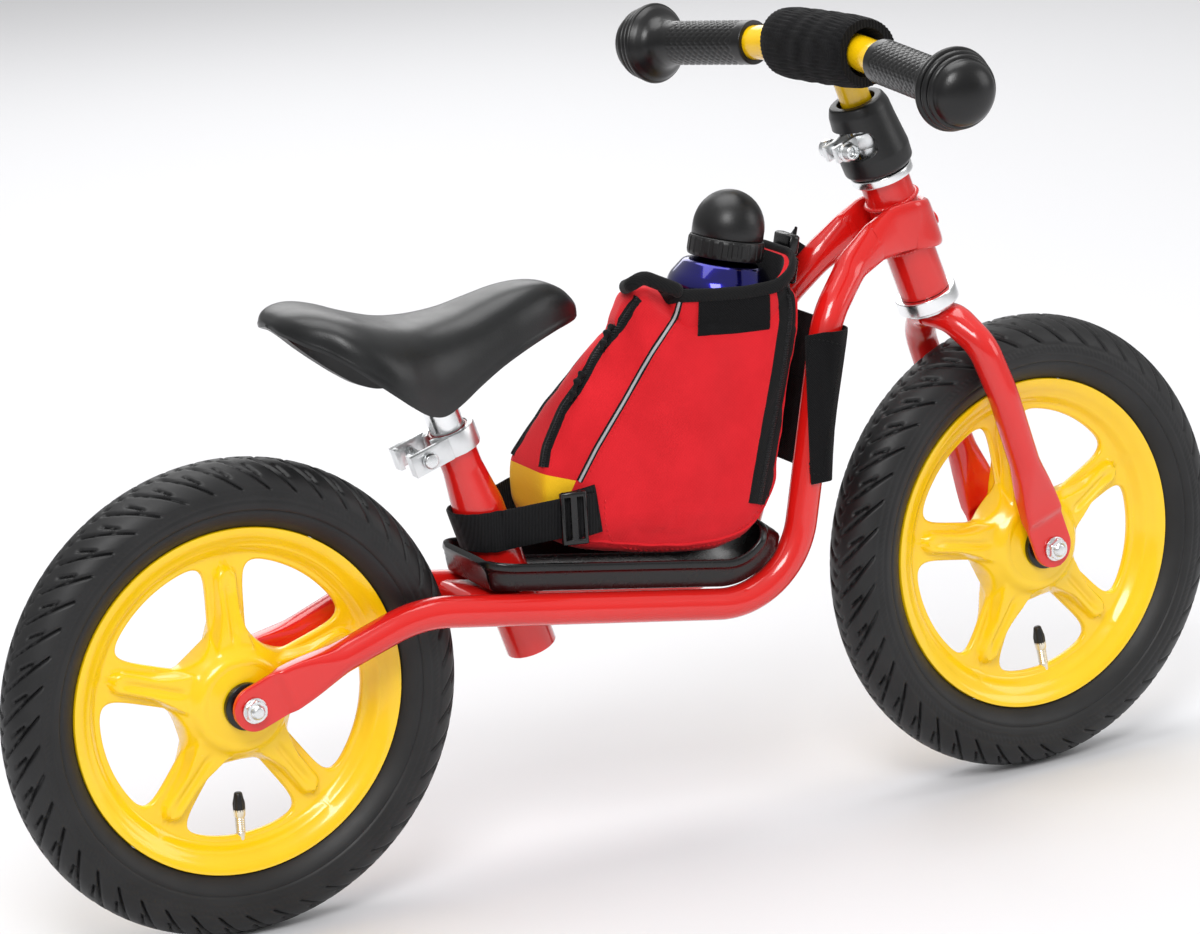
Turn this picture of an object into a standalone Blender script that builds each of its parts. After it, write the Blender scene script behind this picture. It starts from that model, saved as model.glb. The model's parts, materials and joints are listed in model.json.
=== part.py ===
# A child's balance bike with a frame bag and a drinking bottle, modelled as an
# assembly of separate solids. Units are metres, +X is forwards, +Y is the rider's
# left, +Z is up, and the origin is on the ground midway between the axles.
# Side-view sizes are given in millimetres from the rear axle, as a frame drawing does.

import math

import bmesh
import bpy
from mathutils import Matrix, Vector

MM = 0.001
GAP = 0.3                 # clearance between neighbouring solids, mm

# Driving dimensions, mm and degrees
WHEELBASE = 563.0
TYRE_MAJOR = 126.4        # centre of the tyre's round section
TYRE_SECTION = 21.9       # radius of the tyre's round section
AXLE_HEIGHT = TYRE_MAJOR + TYRE_SECTION
RIM_FLANGE = 108.0
TUBE_RADIUS = 10.0        # frame and fork tubes
TUBE_SIDE = 33.5          # half the distance between the twin frame tubes
HEAD_LEAN = 19.0          # head tube, degrees from vertical
HEAD_BASE = (499.3, 172.0)    # lower end of the head tube, x and z
FORK_OFFSET = 5.0
REST_STEER = 5.85         # the bars stand turned a little to the left
SEAT_LEAN = 18.2
SEAT_BASE = (204.5, -5.0)     # lower end of the seat tube, x and z
BOTTLE_LEAN = 12.1
BOTTLE_BASE = (322.0, 70.0)
BOTTLE_RADIUS = 34.0

# Drop-out stack, mm from the wheel's middle plane
HUB_HALF = 22.0
CAP_FACE = 30.2
PLATE_IN = 30.5
PLATE_OUT = 34.5
NUT_FACE = 34.8
NUT_END = 42.5
AXLE_RADIUS = 4.0
BEARING_RADIUS = 11.0
BEARING_WIDTH = 7.0

# Steerer and stem radii, mm
STEM_RADIUS = 10.0
STEERER_RADIUS = 12.0
HEAD_RADIUS = 16.0
BAR_RADIUS = 11.0
BAR_HEIGHT = 183.5        # bar centre above the head tube's lower end, along its axis
BAR_SWEEP = 10.0          # degrees
GRIP_START = 69.0

ROUND_STEPS = 16          # facets round a small turned piece
WHEEL_STEPS = 32          # facets round a wheel

LEAN = math.radians(HEAD_LEAN)
HEAD_UP = Vector((-math.sin(LEAN), 0.0, math.cos(LEAN)))
HEAD_FORWARD = Vector((math.cos(LEAN), 0.0, math.sin(LEAN)))
SIDE = Vector((0.0, 1.0, 0.0))
SEAT_UP = Vector((-math.sin(math.radians(SEAT_LEAN)), 0.0, math.cos(math.radians(SEAT_LEAN))))
SEAT_BACK = Vector((-SEAT_UP.z, 0.0, SEAT_UP.x))
BOTTLE_UP = Vector((math.sin(math.radians(BOTTLE_LEAN)), 0.0, math.cos(math.radians(BOTTLE_LEAN))))


def place(x, y, z):
    # a point given in mm from the rear axle, in metres from the origin
    return Vector((x - WHEELBASE / 2, y, z + AXLE_HEIGHT)) * MM


def head_point(along, forward=0.0, side=0.0):
    # a point given along the head axis from the head tube's lower end
    base = place(HEAD_BASE[0], 0, HEAD_BASE[1])
    return base + (HEAD_UP * along + HEAD_FORWARD * forward + SIDE * side) * MM


def seat_point(along, back=0.0, side=0.0):
    base = place(SEAT_BASE[0], 0, SEAT_BASE[1])
    return base + (SEAT_UP * along + SEAT_BACK * back + SIDE * side) * MM


def bottle_point(along):
    return place(BOTTLE_BASE[0], 0, BOTTLE_BASE[1]) + BOTTLE_UP * along * MM


AXLE_DROP = (HEAD_BASE[1] + FORK_OFFSET * math.sin(LEAN)) / math.cos(LEAN)   # head base to front axle
REAR_AXLE = place(0, 0, 0)
FRONT_AXLE = head_point(-AXLE_DROP, FORK_OFFSET)


def start():
    for item in list(bpy.data.objects):
        bpy.data.objects.remove(item, do_unlink=True)
    made = {}
    for name in ("balance_bike", "cutters"):
        made[name] = bpy.data.collections.new(name)
        bpy.context.scene.collection.children.link(made[name])
    return made


COLLECTIONS = start()


def finish(name, red, green, blue, roughness, metallic):
    made = bpy.data.materials.new(name)
    made.use_nodes = True
    shader = made.node_tree.nodes["Principled BSDF"]
    shader.inputs["Base Color"].default_value = (red, green, blue, 1.0)
    shader.inputs["Roughness"].default_value = roughness
    shader.inputs["Metallic"].default_value = metallic
    return made


FINISHES = {
    "frame_red": finish("frame_red", 0.72, 0.012, 0.01, 0.25, 0.0),
    "rim_yellow": finish("rim_yellow", 0.9, 0.58, 0.0, 0.3, 0.0),
    "bar_yellow": finish("bar_yellow", 0.92, 0.6, 0.0, 0.25, 0.0),
    "tyre_black": finish("tyre_black", 0.02, 0.02, 0.02, 0.6, 0.0),
    "inner_rubber": finish("inner_rubber", 0.02, 0.02, 0.02, 0.5, 0.0),
    "steel": finish("steel", 0.6, 0.6, 0.6, 0.25, 1.0),
    "cast_alloy": finish("cast_alloy", 0.7, 0.7, 0.7, 0.35, 1.0),
    "black_plastic": finish("black_plastic", 0.02, 0.02, 0.02, 0.4, 0.0),
    "gloss_plastic": finish("gloss_plastic", 0.01, 0.01, 0.01, 0.2, 0.0),
    "grip_rubber": finish("grip_rubber", 0.015, 0.015, 0.015, 0.55, 0.0),
    "saddle_skin": finish("saddle_skin", 0.03, 0.03, 0.03, 0.45, 0.0),
    "pad_fabric": finish("pad_fabric", 0.02, 0.02, 0.02, 0.9, 0.0),
    "bag_fabric": finish("bag_fabric", 0.75, 0.03, 0.04, 0.85, 0.0),
    "webbing": finish("webbing", 0.01, 0.01, 0.01, 0.85, 0.0),
    "bottle_blue": finish("bottle_blue", 0.02, 0.02, 0.3, 0.2, 0.7),
}


def add(name, mesh, look, parent=None, cutter=False):
    item = bpy.data.objects.new(name, mesh)
    COLLECTIONS["cutters" if cutter else "balance_bike"].objects.link(item)
    if cutter:
        item.hide_render = True
        item.display_type = "WIRE"
    else:
        mesh.materials.append(FINISHES[look])
    if parent is not None:
        item.parent = parent
        item.matrix_parent_inverse = Matrix.Translation(-parent.location)
    return item


def smooth(mesh, angle=35.0):
    mesh.shade_smooth()
    mesh.set_sharp_from_angle(angle=math.radians(angle))


def facing(axis):
    # rotation that carries +Z to the axis, with +X kept in the side plane where it can be
    axis = axis.normalized()
    if abs(axis.y) > 0.99:
        return Matrix((Vector((1, 0, 0)), Vector((0, 0, -axis.y)), axis)).transposed().to_4x4()
    across = SIDE.cross(axis).normalized()
    return Matrix((across, axis.cross(across), axis)).transposed().to_4x4()


def turned(name, profile, centre, axis, look, parent=None, steps=ROUND_STEPS, ring=False,
           cutter=False):
    # profile is radius and height in mm, listed down the outer side; a ring's profile closes
    mesh = bpy.data.meshes.new(name)
    points = [(radius * MM, 0.0, height * MM) for radius, height in profile]
    edges = [(i, i + 1) for i in range(len(points) - 1)]
    if ring:
        edges.append((len(points) - 1, 0))
    mesh.from_pydata(points, edges, [])
    item = add(name, mesh, look, parent, cutter)
    item.matrix_basis = Matrix.Translation(centre) @ facing(axis)
    screw = item.modifiers.new("turn", "SCREW")
    screw.axis = "Z"
    screw.steps = steps
    screw.render_steps = steps
    screw.use_merge_vertices = True
    screw.merge_threshold = 0.00001
    screw.use_smooth_shade = True
    return item


def pipe_ring(outer, inner, low, high):
    return [(outer, high), (outer, low), (inner, low), (inner, high)]


def cylinder_cutter(name, radius, low, high, centre, axis, parent=None, steps=ROUND_STEPS):
    profile = [(0, high), (radius, high), (radius, low), (0, low)]
    return turned(name, profile, centre, axis, "steel", parent, steps, cutter=True)


def box(name, size, centre, look, parent=None, turn=None, bevel=0.0, cutter=False, segments=1):
    mesh = bpy.data.meshes.new(name)
    form = bmesh.new()
    bmesh.ops.create_cube(form, size=1.0)
    bmesh.ops.scale(form, vec=Vector(size) * MM, verts=form.verts)
    form.to_mesh(mesh)
    form.free()
    item = add(name, mesh, look, parent, cutter)
    item.matrix_basis = Matrix.Translation(centre) @ (turn or Matrix.Identity(4))
    if bevel:
        edge = item.modifiers.new("edges", "BEVEL")
        edge.width = bevel * MM
        edge.segments = segments
        edge.limit_method = "ANGLE"
    return item


def cut(item, cutter, operation="DIFFERENCE"):
    step = item.modifiers.new(operation.lower(), "BOOLEAN")
    step.operation = operation
    step.solver = "EXACT"
    step.object = cutter
    return item


def loft(name, rings, look, parent=None, closed=False):
    # skin over rings of points with the same count; ends are capped unless the loft closes
    count = len(rings[0])
    points = [point for ring in rings for point in ring]
    faces = []
    rows = len(rings) if closed else len(rings) - 1
    for row in range(rows):
        after = (row + 1) % len(rings)
        for col in range(count):
            beside = (col + 1) % count
            faces.append((row * count + col, row * count + beside,
                          after * count + beside, after * count + col))
    if not closed:
        faces.append(tuple(reversed(range(count))))
        faces.append(tuple((len(rings) - 1) * count + col for col in range(count)))
    mesh = bpy.data.meshes.new(name)
    mesh.from_pydata(points, [], faces)
    form = bmesh.new()
    form.from_mesh(mesh)
    bmesh.ops.recalc_face_normals(form, faces=form.faces)
    form.to_mesh(mesh)
    form.free()
    smooth(mesh)
    return add(name, mesh, look, parent)


def rounded_path(corners, radii, step=8.0):
    # straight runs joined by arcs of the given radii, as points in mm
    path = [Vector(corners[0])]
    for index in range(1, len(corners) - 1):
        before, corner, after = (Vector(corners[index + k]) for k in (-1, 0, 1))
        inward = (before - corner).normalized()
        outward = (after - corner).normalized()
        half = inward.angle(outward) / 2
        radius = radii[index - 1]
        reach = radius / math.tan(half)
        centre = corner + (inward + outward).normalized() * (radius / math.sin(half))
        sweep = math.pi - 2 * half
        first = corner + inward * reach - centre
        last = corner + outward * reach - centre
        count = max(2, math.ceil(radius * sweep / step))
        for part in range(count + 1):
            path.append(centre + first.slerp(last, part / count) * radius)
    path.append(Vector(corners[-1]))
    return path


def section(centre, wide_axis, tall_axis, wide, tall, power, count=12):
    # superellipse: power 2 is round, larger is squarer
    ring = []
    for index in range(count):
        turn = 2 * math.pi * index / count
        across = math.copysign(abs(math.cos(turn)) ** (2 / power), math.cos(turn)) * wide
        up = math.copysign(abs(math.sin(turn)) ** (2 / power), math.sin(turn)) * tall
        ring.append(centre + wide_axis * across + tall_axis * up)
    return ring


def tangent(path, index):
    low = max(index - 1, 0)
    high = min(index + 1, len(path) - 1)
    return (path[high] - path[low]).normalized()


def length_along(path):
    total = [0.0]
    for index in range(1, len(path)):
        total.append(total[-1] + (path[index] - path[index - 1]).length)
    return total


def tube_rings(path, size_at, wide_axis=SIDE):
    # rings square to the path; size_at gives half width, half height and power there
    rings = []
    run = length_along(path)
    for index, point in enumerate(path):
        ahead = tangent(path, index)
        tall_axis = ahead.cross(wide_axis).normalized()
        wide_now = tall_axis.cross(ahead).normalized()
        wide, tall, power = size_at(run[index], run[-1])
        rings.append([place(*p) for p in section(point, wide_now, tall_axis, wide, tall, power)])
    return rings


PLATE_HALF_WIDTH = 13.0
PLATE_POWER = 5.0
ROUND_POWER = 2.0


def plate_end(along, plate_run, blend_run):
    # a tube pressed flat at its axle end: thin, wide and square-sided, then round again
    thick = (PLATE_OUT - PLATE_IN) / 2
    if along < plate_run:
        return thick, PLATE_HALF_WIDTH, PLATE_POWER
    part = min(1.0, (along - plate_run) / blend_run)
    ease = part * part * (3 - 2 * part)
    return (thick + (TUBE_RADIUS - thick) * ease,
            PLATE_HALF_WIDTH + (TUBE_RADIUS - PLATE_HALF_WIDTH) * ease,
            PLATE_POWER + (ROUND_POWER - PLATE_POWER) * ease)


# Frame

STAY_END = -12.0          # the plate's end behind the axle
PLATE_RUN = 40.0
PLATE_BLEND = 45.0
LOOP_START = Vector((452.0, 18.5, 217.5))      # where the side tube ends and the head loop begins
LOOP_AHEAD = Vector((0.841, -0.089, 0.533)).normalized()


def frame_side(side):
    # one side of the frame tube, from the rear drop-out to the start of the head loop
    plate_y = side * (PLATE_IN + PLATE_OUT) / 2
    mirror = Matrix.Diagonal((1, side, 1))
    corners = [(STAY_END * 0.94, plate_y, STAY_END * 0.34),
               (44.0, plate_y, 16.0),
               (112.5, side * 36.0, 41.0),
               (371.5, side * TUBE_SIDE, 0.4),
               (407.5, side * 31.5, 178.0),
               tuple(mirror @ (LOOP_START - LOOP_AHEAD * 22.0)),
               tuple(mirror @ LOOP_START)]
    path = rounded_path(corners, [60.0, 80.0, 55.5, 45.0, 30.0], step=14.0)

    def size_at(along, total):
        if along < 1.0:
            return plate_end(0, PLATE_RUN, PLATE_BLEND)[0], 5.5, 4.0
        wide, tall, power = plate_end(along, PLATE_RUN, PLATE_BLEND)
        flat = max(0.0, 1 - (total - along) / 30.0)
        return wide - 3.0 * flat, tall + 3.0 * flat, power

    path = [path[0].lerp(path[1], part) for part in (0, 0.07, 0.45, 0.75)] + path[1:]
    name = "frame_tube_" + ("left" if side > 0 else "right")
    tube = loft(name, tube_rings(path, size_at), "frame_red")
    hole = cylinder_cutter(name + "_axle_hole", AXLE_RADIUS + GAP, 25, 40,
                           REAR_AXLE, SIDE * side)
    return cut(tube, hole)


def head_loop():
    # the frame tube's front, pressed flat where it passes round the head tube
    thick, tall = 3.0, 15.5
    middle = HEAD_RADIUS + GAP + thick
    back = LOOP_START + LOOP_AHEAD * GAP * 1.2
    left = []
    for part in range(4):
        blend = part / 4
        point = back.lerp(Vector((470.0, 18.7, 224.6)), blend)
        sizes = (7.0 + (thick + 0.6 - 7.0) * blend, 13.0 + (tall - 13.0) * blend, 2.2 + 1.6 * blend)
        left.append((place(*point), LOOP_AHEAD.lerp(HEAD_FORWARD, blend), sizes))
    turns = 6
    around = []
    for index in range(2 * turns + 1):
        angle = math.pi / 2 * (1 - index / turns)
        rise = 56.0 - 9.0 * math.cos(angle)
        centre = head_point(rise, middle * math.cos(angle), middle * math.sin(angle))
        ahead = HEAD_FORWARD * math.sin(angle) - SIDE * math.cos(angle)
        around.append((centre, ahead, (thick, tall, 4.0)))
    stations = left + around
    for centre, ahead, sizes in reversed(left):
        mirrored = Vector((centre.x, -centre.y, centre.z))
        stations.append((mirrored, Vector((-ahead.x, ahead.y, -ahead.z)), sizes))
    rings = []
    for centre, ahead, (wide, high, power) in stations:
        ahead = ahead.normalized()
        tall_axis = (HEAD_UP - ahead * HEAD_UP.dot(ahead)).normalized()
        wide_axis = ahead.cross(tall_axis)
        rings.append(section(centre, wide_axis * MM, tall_axis * MM, wide, high, power))
    loop = loft("head_loop", rings, "frame_red")
    bore = cylinder_cutter("head_loop_bore", HEAD_RADIUS + GAP, 0, 90, head_point(0), HEAD_UP)
    return cut(loop, bore)


def head_tube():
    return turned("head_tube", pipe_ring(HEAD_RADIUS, 14.0, 5.0, 87.2), head_point(0), HEAD_UP,
                  "frame_red", ring=True)


def seat_tube():
    profile = [(12.7, 155), (12.7, 128), (13.6, 118), (15.2, 109), (16.0, 101), (16.0, 0),
               (14.2, 0), (14.2, 98), (11.3, 116), (11.3, 155)]
    tube = turned("seat_tube", profile, seat_point(0), SEAT_UP, "frame_red", ring=True)
    slot = box("seat_tube_slot", (14, 3, 32), seat_point(142, 15), "steel", turn=facing(SEAT_UP),
               cutter=True)
    return cut(tube, slot)


def seat_bridge():
    # the folded plate that joins the seat tube to the twin tubes
    size = (40, 2 * (TUBE_SIDE - TUBE_RADIUS) - 1.0, 17)
    turn = Matrix.Rotation(math.radians(9), 4, "Y")
    bridge = box("seat_bridge", size, place(171, 0, 31), "frame_red", turn=turn, bevel=5,
                 segments=2)
    bore = cylinder_cutter("seat_bridge_bore", 16 + GAP, 0, 120, seat_point(0), SEAT_UP)
    return cut(bridge, bore)


FOOT_HALF = 41.0
FOOT_LIFT = TUBE_RADIUS + 4.6      # the tray's middle above the tubes' centre line
FOOT_TOP = 53.0


def footboard():
    # a shallow tray that lies on the twin tubes and follows their bend up at the front
    rear, corner, front = ((113.2, 40.9), (371.5, 0.4), (410.3, 190.0))
    rear_up = Vector((corner[1] - rear[1], rear[0] - corner[0])).normalized() * -1
    front_up = Vector((corner[1] - front[1], front[0] - corner[0])).normalized()
    meet = Vector(corner) + (rear_up + front_up) * FOOT_LIFT / (1 + rear_up.dot(front_up))
    along = Vector((rear_up.y, -rear_up.x))
    begin = meet - along * 204.0
    finish_at = meet + Vector((front_up.y, -front_up.x)) * 44.0
    spine = rounded_path([(begin.x, 0, begin.y), (meet.x, 0, meet.y),
                          (finish_at.x, 0, finish_at.y)], [55.5 - FOOT_LIFT], step=9.0)
    spine = [point for point in spine if point.x < 300 or point.z < FOOT_TOP]
    dense = [spine[0].lerp(spine[1], part) for part in (0, 0.02, 0.06, 0.13, 0.4, 0.7)]
    dense += spine[1:]
    run = length_along(dense)
    rings = []
    for index, point in enumerate(dense):
        ahead = tangent(dense, index)
        up = SIDE.cross(ahead) * -1
        end = min(run[index], run[-1] - run[index])
        inset = 20.0 * (1 - math.sqrt(1 - (1 - min(end, 20.0) / 20.0) ** 2))
        thick = 4.0 if 0 < index < len(dense) - 1 else 2.5
        ring = section(point, SIDE, up, FOOT_HALF - inset * 0.9, thick, 4.5, 16)
        rings.append([place(*p) for p in ring])
    tray = loft("footboard", rings, "gloss_plastic")
    hole = cylinder_cutter("footboard_hole", 17.5, 0, 90, seat_point(0), SEAT_UP)
    return cut(tray, hole)


# Headset, fork and stem clamp

def headset():
    lower = [(20.0, 4.7), (20.0, -4.7), (17.2, -4.7), (17.2, 1.6), (12.6, 1.6), (12.6, 13),
             (13.7, 13), (13.7, 4.7)]
    turned("headset_lower_cup", lower, head_point(0), HEAD_UP, "steel", ring=True, steps=20)
    upper = [(13.7, 87.5), (13.7, 79), (12.6, 79), (12.6, 89), (17.2, 89), (17.2, 93.0),
             (20.0, 93.0), (20.0, 87.5)]
    turned("headset_upper_cup", upper, head_point(0), HEAD_UP, "steel",
           ring=True, steps=20)
    turned("headset_lower_bearing", pipe_ring(16.8, 12.4, -4.3, 1.2), head_point(0), HEAD_UP,
           "steel", ring=True)
    turned("headset_upper_bearing", pipe_ring(16.8, 12.4, 89.4, 92.7), head_point(0), HEAD_UP,
           "steel", ring=True)


def fork_steerer(turn):
    # steerer tube with the crown race at its foot; its slotted top takes the handlebar stem
    profile = [(STEERER_RADIUS, 128), (STEERER_RADIUS, -5.0), (16.0, -5.0), (16.0, -7.5),
               (STEM_RADIUS + GAP, -7.5), (STEM_RADIUS + GAP, 128)]
    steerer = turned("fork_steerer", profile, head_point(0), HEAD_UP, "steel", turn, ring=True)
    slot = box("steerer_slot", (12, 3, 30), head_point(118, -10), "steel", turn,
               facing(HEAD_UP), cutter=True)
    return cut(steerer, slot)


def fork_leg(turn, side):
    # half of the crown and one leg, bent from one tube and pressed flat at the axle
    plate_y = (PLATE_IN + PLATE_OUT) / 2
    ends = [(1.5, 0.15, -12.0), (3.5, 17.0, -15.0), (6.0, 33.5, -34.0), (6.5, 36.5, -70.0),
            (6.0, plate_y, -(AXLE_DROP - 42)), (FORK_OFFSET, plate_y, -(AXLE_DROP + 12))]
    path = rounded_path(ends, [18.0, 26.0, 80.0, 60.0], step=10.0)
    path = path[:-1] + [path[-2].lerp(path[-1], part) for part in (0.2, 0.6, 0.95, 1)]
    run = length_along(path)
    rings = []
    for index, point in enumerate(path):
        ahead = tangent(path, index)
        if index == 0:
            ahead = Vector((0, 1, 0))
        forward = (Vector((1, 0, 0)) - ahead * ahead.x).normalized()
        across = ahead.cross(forward)
        left = run[-1] - run[index]
        if left < 0.5:
            wide, thick, power = 5.5, 2.0, 4.0
        else:
            thick, wide, power = plate_end(left, PLATE_RUN, PLATE_BLEND)
        crown = max(0.0, 1 - run[index] / 34.0)
        thick = thick + (6.2 - thick) * crown
        wide = wide + (12.5 - wide) * crown
        ring = section(point, forward, across, wide, thick, power)
        rings.append([head_point(p.z, p.x, p.y * side) for p in ring])
    name = "fork_leg_" + ("left" if side > 0 else "right")
    leg = loft(name, rings, "frame_red", turn)
    cut(leg, cylinder_cutter(name + "_hole", AXLE_RADIUS + GAP, 25, 45, FRONT_AXLE,
                             SIDE * side, turn))
    return cut(leg, cylinder_cutter(name + "_race", 16.0 + GAP, -7.5 - GAP, 0,
                                    head_point(0), HEAD_UP, turn))


CLAMP_LOW = 113.5
CLAMP_HIGH = 123.5
CLAMP_BOLT_BACK = 24.0


def stem_clamp(turn):
    band = turned("stem_clamp", pipe_ring(15.2, STEERER_RADIUS + GAP, CLAMP_LOW, CLAMP_HIGH),
                  head_point(0), HEAD_UP, "cast_alloy", turn, ring=True)
    height = CLAMP_HIGH - CLAMP_LOW
    middle = (CLAMP_LOW + CLAMP_HIGH) / 2
    for side in (-1, 1):
        ear = box("stem_clamp_ear", (18.4, 3.4, height), head_point(middle, -21.8, side * 5.2),
                  "steel", turn, facing(HEAD_UP), 0, True)
        cut(band, ear, "UNION")
    gap = box("stem_clamp_gap", (26, 6.6, 20), head_point(middle, -21, 0), "steel", turn,
              facing(HEAD_UP), 0, True)
    cut(band, gap)
    cut(band, cylinder_cutter("stem_clamp_bore", 3.3, -12, 12,
                              head_point(middle, -CLAMP_BOLT_BACK), SIDE, turn, 16))
    bolt = [(0, 15.5), (6.2, 13.6), (6.2, 7.3), (3.0, 7.3), (3.0, -12.5), (0, -12.5)]
    turned("stem_clamp_bolt", bolt, head_point(middle, -CLAMP_BOLT_BACK), SIDE, "steel", turn)
    nut = [(4.0, 16.4), (4.9, 15.6), (5.2, 10.6), (6.4, 10.0), (6.4, 7.3), (3.3, 7.3), (3.3, 14.5),
           (4.0, 14.5)]
    turned("stem_clamp_nut", nut, head_point(middle, -CLAMP_BOLT_BACK), -SIDE, "steel", turn,
           ring=True)


def stem_cover(turn):
    outer = [(16.6, 142), (18.6, 140), (20.2, 134), (21.6, 122), (22.8, 108), (23.1, 102),
             (22.6, 98), (20.4, 94.2)]
    inner = [(18.2, 94.2), (19.4, 101), (19.0, 112), (18.2, 122), (16.6, 134), (12.5, 138.6),
             (12.5, 142)]
    cover = turned("stem_cover", outer + inner, head_point(0), HEAD_UP, "black_plastic", turn,
                   ring=True, steps=20)
    window = box("stem_cover_window", (24, 60, 17), head_point(118.5, -20, 0), "steel", turn,
                 facing(HEAD_UP), 5, True)
    return cut(cover, window)


# Handlebar

BAR_BACK = -4.0


def bar_point(side):
    # a point of the swept handlebar's centre line, at a distance from the middle
    reach = max(0.0, abs(side) - 12.0)
    back = BAR_BACK - reach * math.tan(math.radians(BAR_SWEEP))
    return head_point(BAR_HEIGHT - 0.012 * reach, back, side)


def bar_axis(side):
    return (bar_point(side * 150) - bar_point(side * 50)).normalized()


def handlebar(turn):
    outline = bpy.data.curves.new("handlebar_tube", "CURVE")
    outline.dimensions = "3D"
    outline.bevel_depth = BAR_RADIUS * MM
    outline.bevel_resolution = 3
    outline.use_fill_caps = True
    line = outline.splines.new("POLY")
    reaches = (-163, -60, -20, -12, -5, 5, 12, 20, 60, 163)
    line.points.add(len(reaches) - 1)
    for knot, reach in zip(line.points, reaches):
        knot.co = (*bar_point(reach), 1.0)
    outline.materials.append(FINISHES["bar_yellow"])
    bar = bpy.data.objects.new("handlebar_tube", outline)
    COLLECTIONS["balance_bike"].objects.link(bar)
    bar.parent = turn
    bar.matrix_parent_inverse = Matrix.Translation(-turn.location)

    stem = turned("stem_tube", [(STEM_RADIUS, 180), (STEM_RADIUS, 60), (8.5, 60), (8.5, 180)],
                  head_point(0), HEAD_UP, "bar_yellow", turn, ring=True)
    cut(stem, cylinder_cutter("stem_saddle", BAR_RADIUS + GAP + 0.1, -30, 30,
                              head_point(BAR_HEIGHT, BAR_BACK), SIDE, turn))

    pad = turned("bar_pad", [(21.5, 43), (23.5, 36), (23.5, -36), (21.5, -43), (15.5, -43),
                             (15.5, 43)],
                 head_point(BAR_HEIGHT - 1, BAR_BACK - 2.5), SIDE, "pad_fabric", turn, ring=True)
    cut(pad, cylinder_cutter("bar_pad_stem_hole", 11.0, 140, 185, head_point(0), HEAD_UP, turn))


def grip(turn, side):
    # a grip with a closed end: sleeve, flare, ridged safety knob and dome
    sleeve = 78.0
    outer = [(14.2, 0), (14.2, sleeve), (16.5, sleeve + 5), (22.0, sleeve + 10),
             (26.2, sleeve + 13), (26.2, sleeve + 16), (25.6, sleeve + 21), (24.8, sleeve + 25)]
    dome = [(24.0 * math.cos(math.radians(a)), sleeve + 25 + 13.0 * math.sin(math.radians(a)))
            for a in (10, 30, 50, 70)]
    profile = [(0, sleeve + 38)] + (outer + dome)[::-1]
    bore = [(BAR_RADIUS + GAP, 0), (BAR_RADIUS + GAP, sleeve + 20), (0, sleeve + 20)]
    name = "grip_" + ("left" if side > 0 else "right")
    start_point = bar_point(side * GRIP_START)
    return turned(name, profile + bore, start_point, bar_axis(side), "grip_rubber", turn)


# Wheels

SPOKES = 5
SPOKE_START = {"front": 26.0, "rear": 18.0}    # angle of one spoke above +X, degrees
VALVE_GAP = -36.0                               # the valve sits between two spokes


def wheel_turn(angle):
    # turns +X towards +Z about the axle
    return Matrix.Rotation(math.radians(-angle), 4, "Y")


def radial_cutter(name, radius, low, high, centre, angle, parent):
    axis = Vector((math.cos(math.radians(angle)), 0, math.sin(math.radians(angle))))
    return cylinder_cutter(name, radius, low, high, centre, axis, parent, 12)


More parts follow.
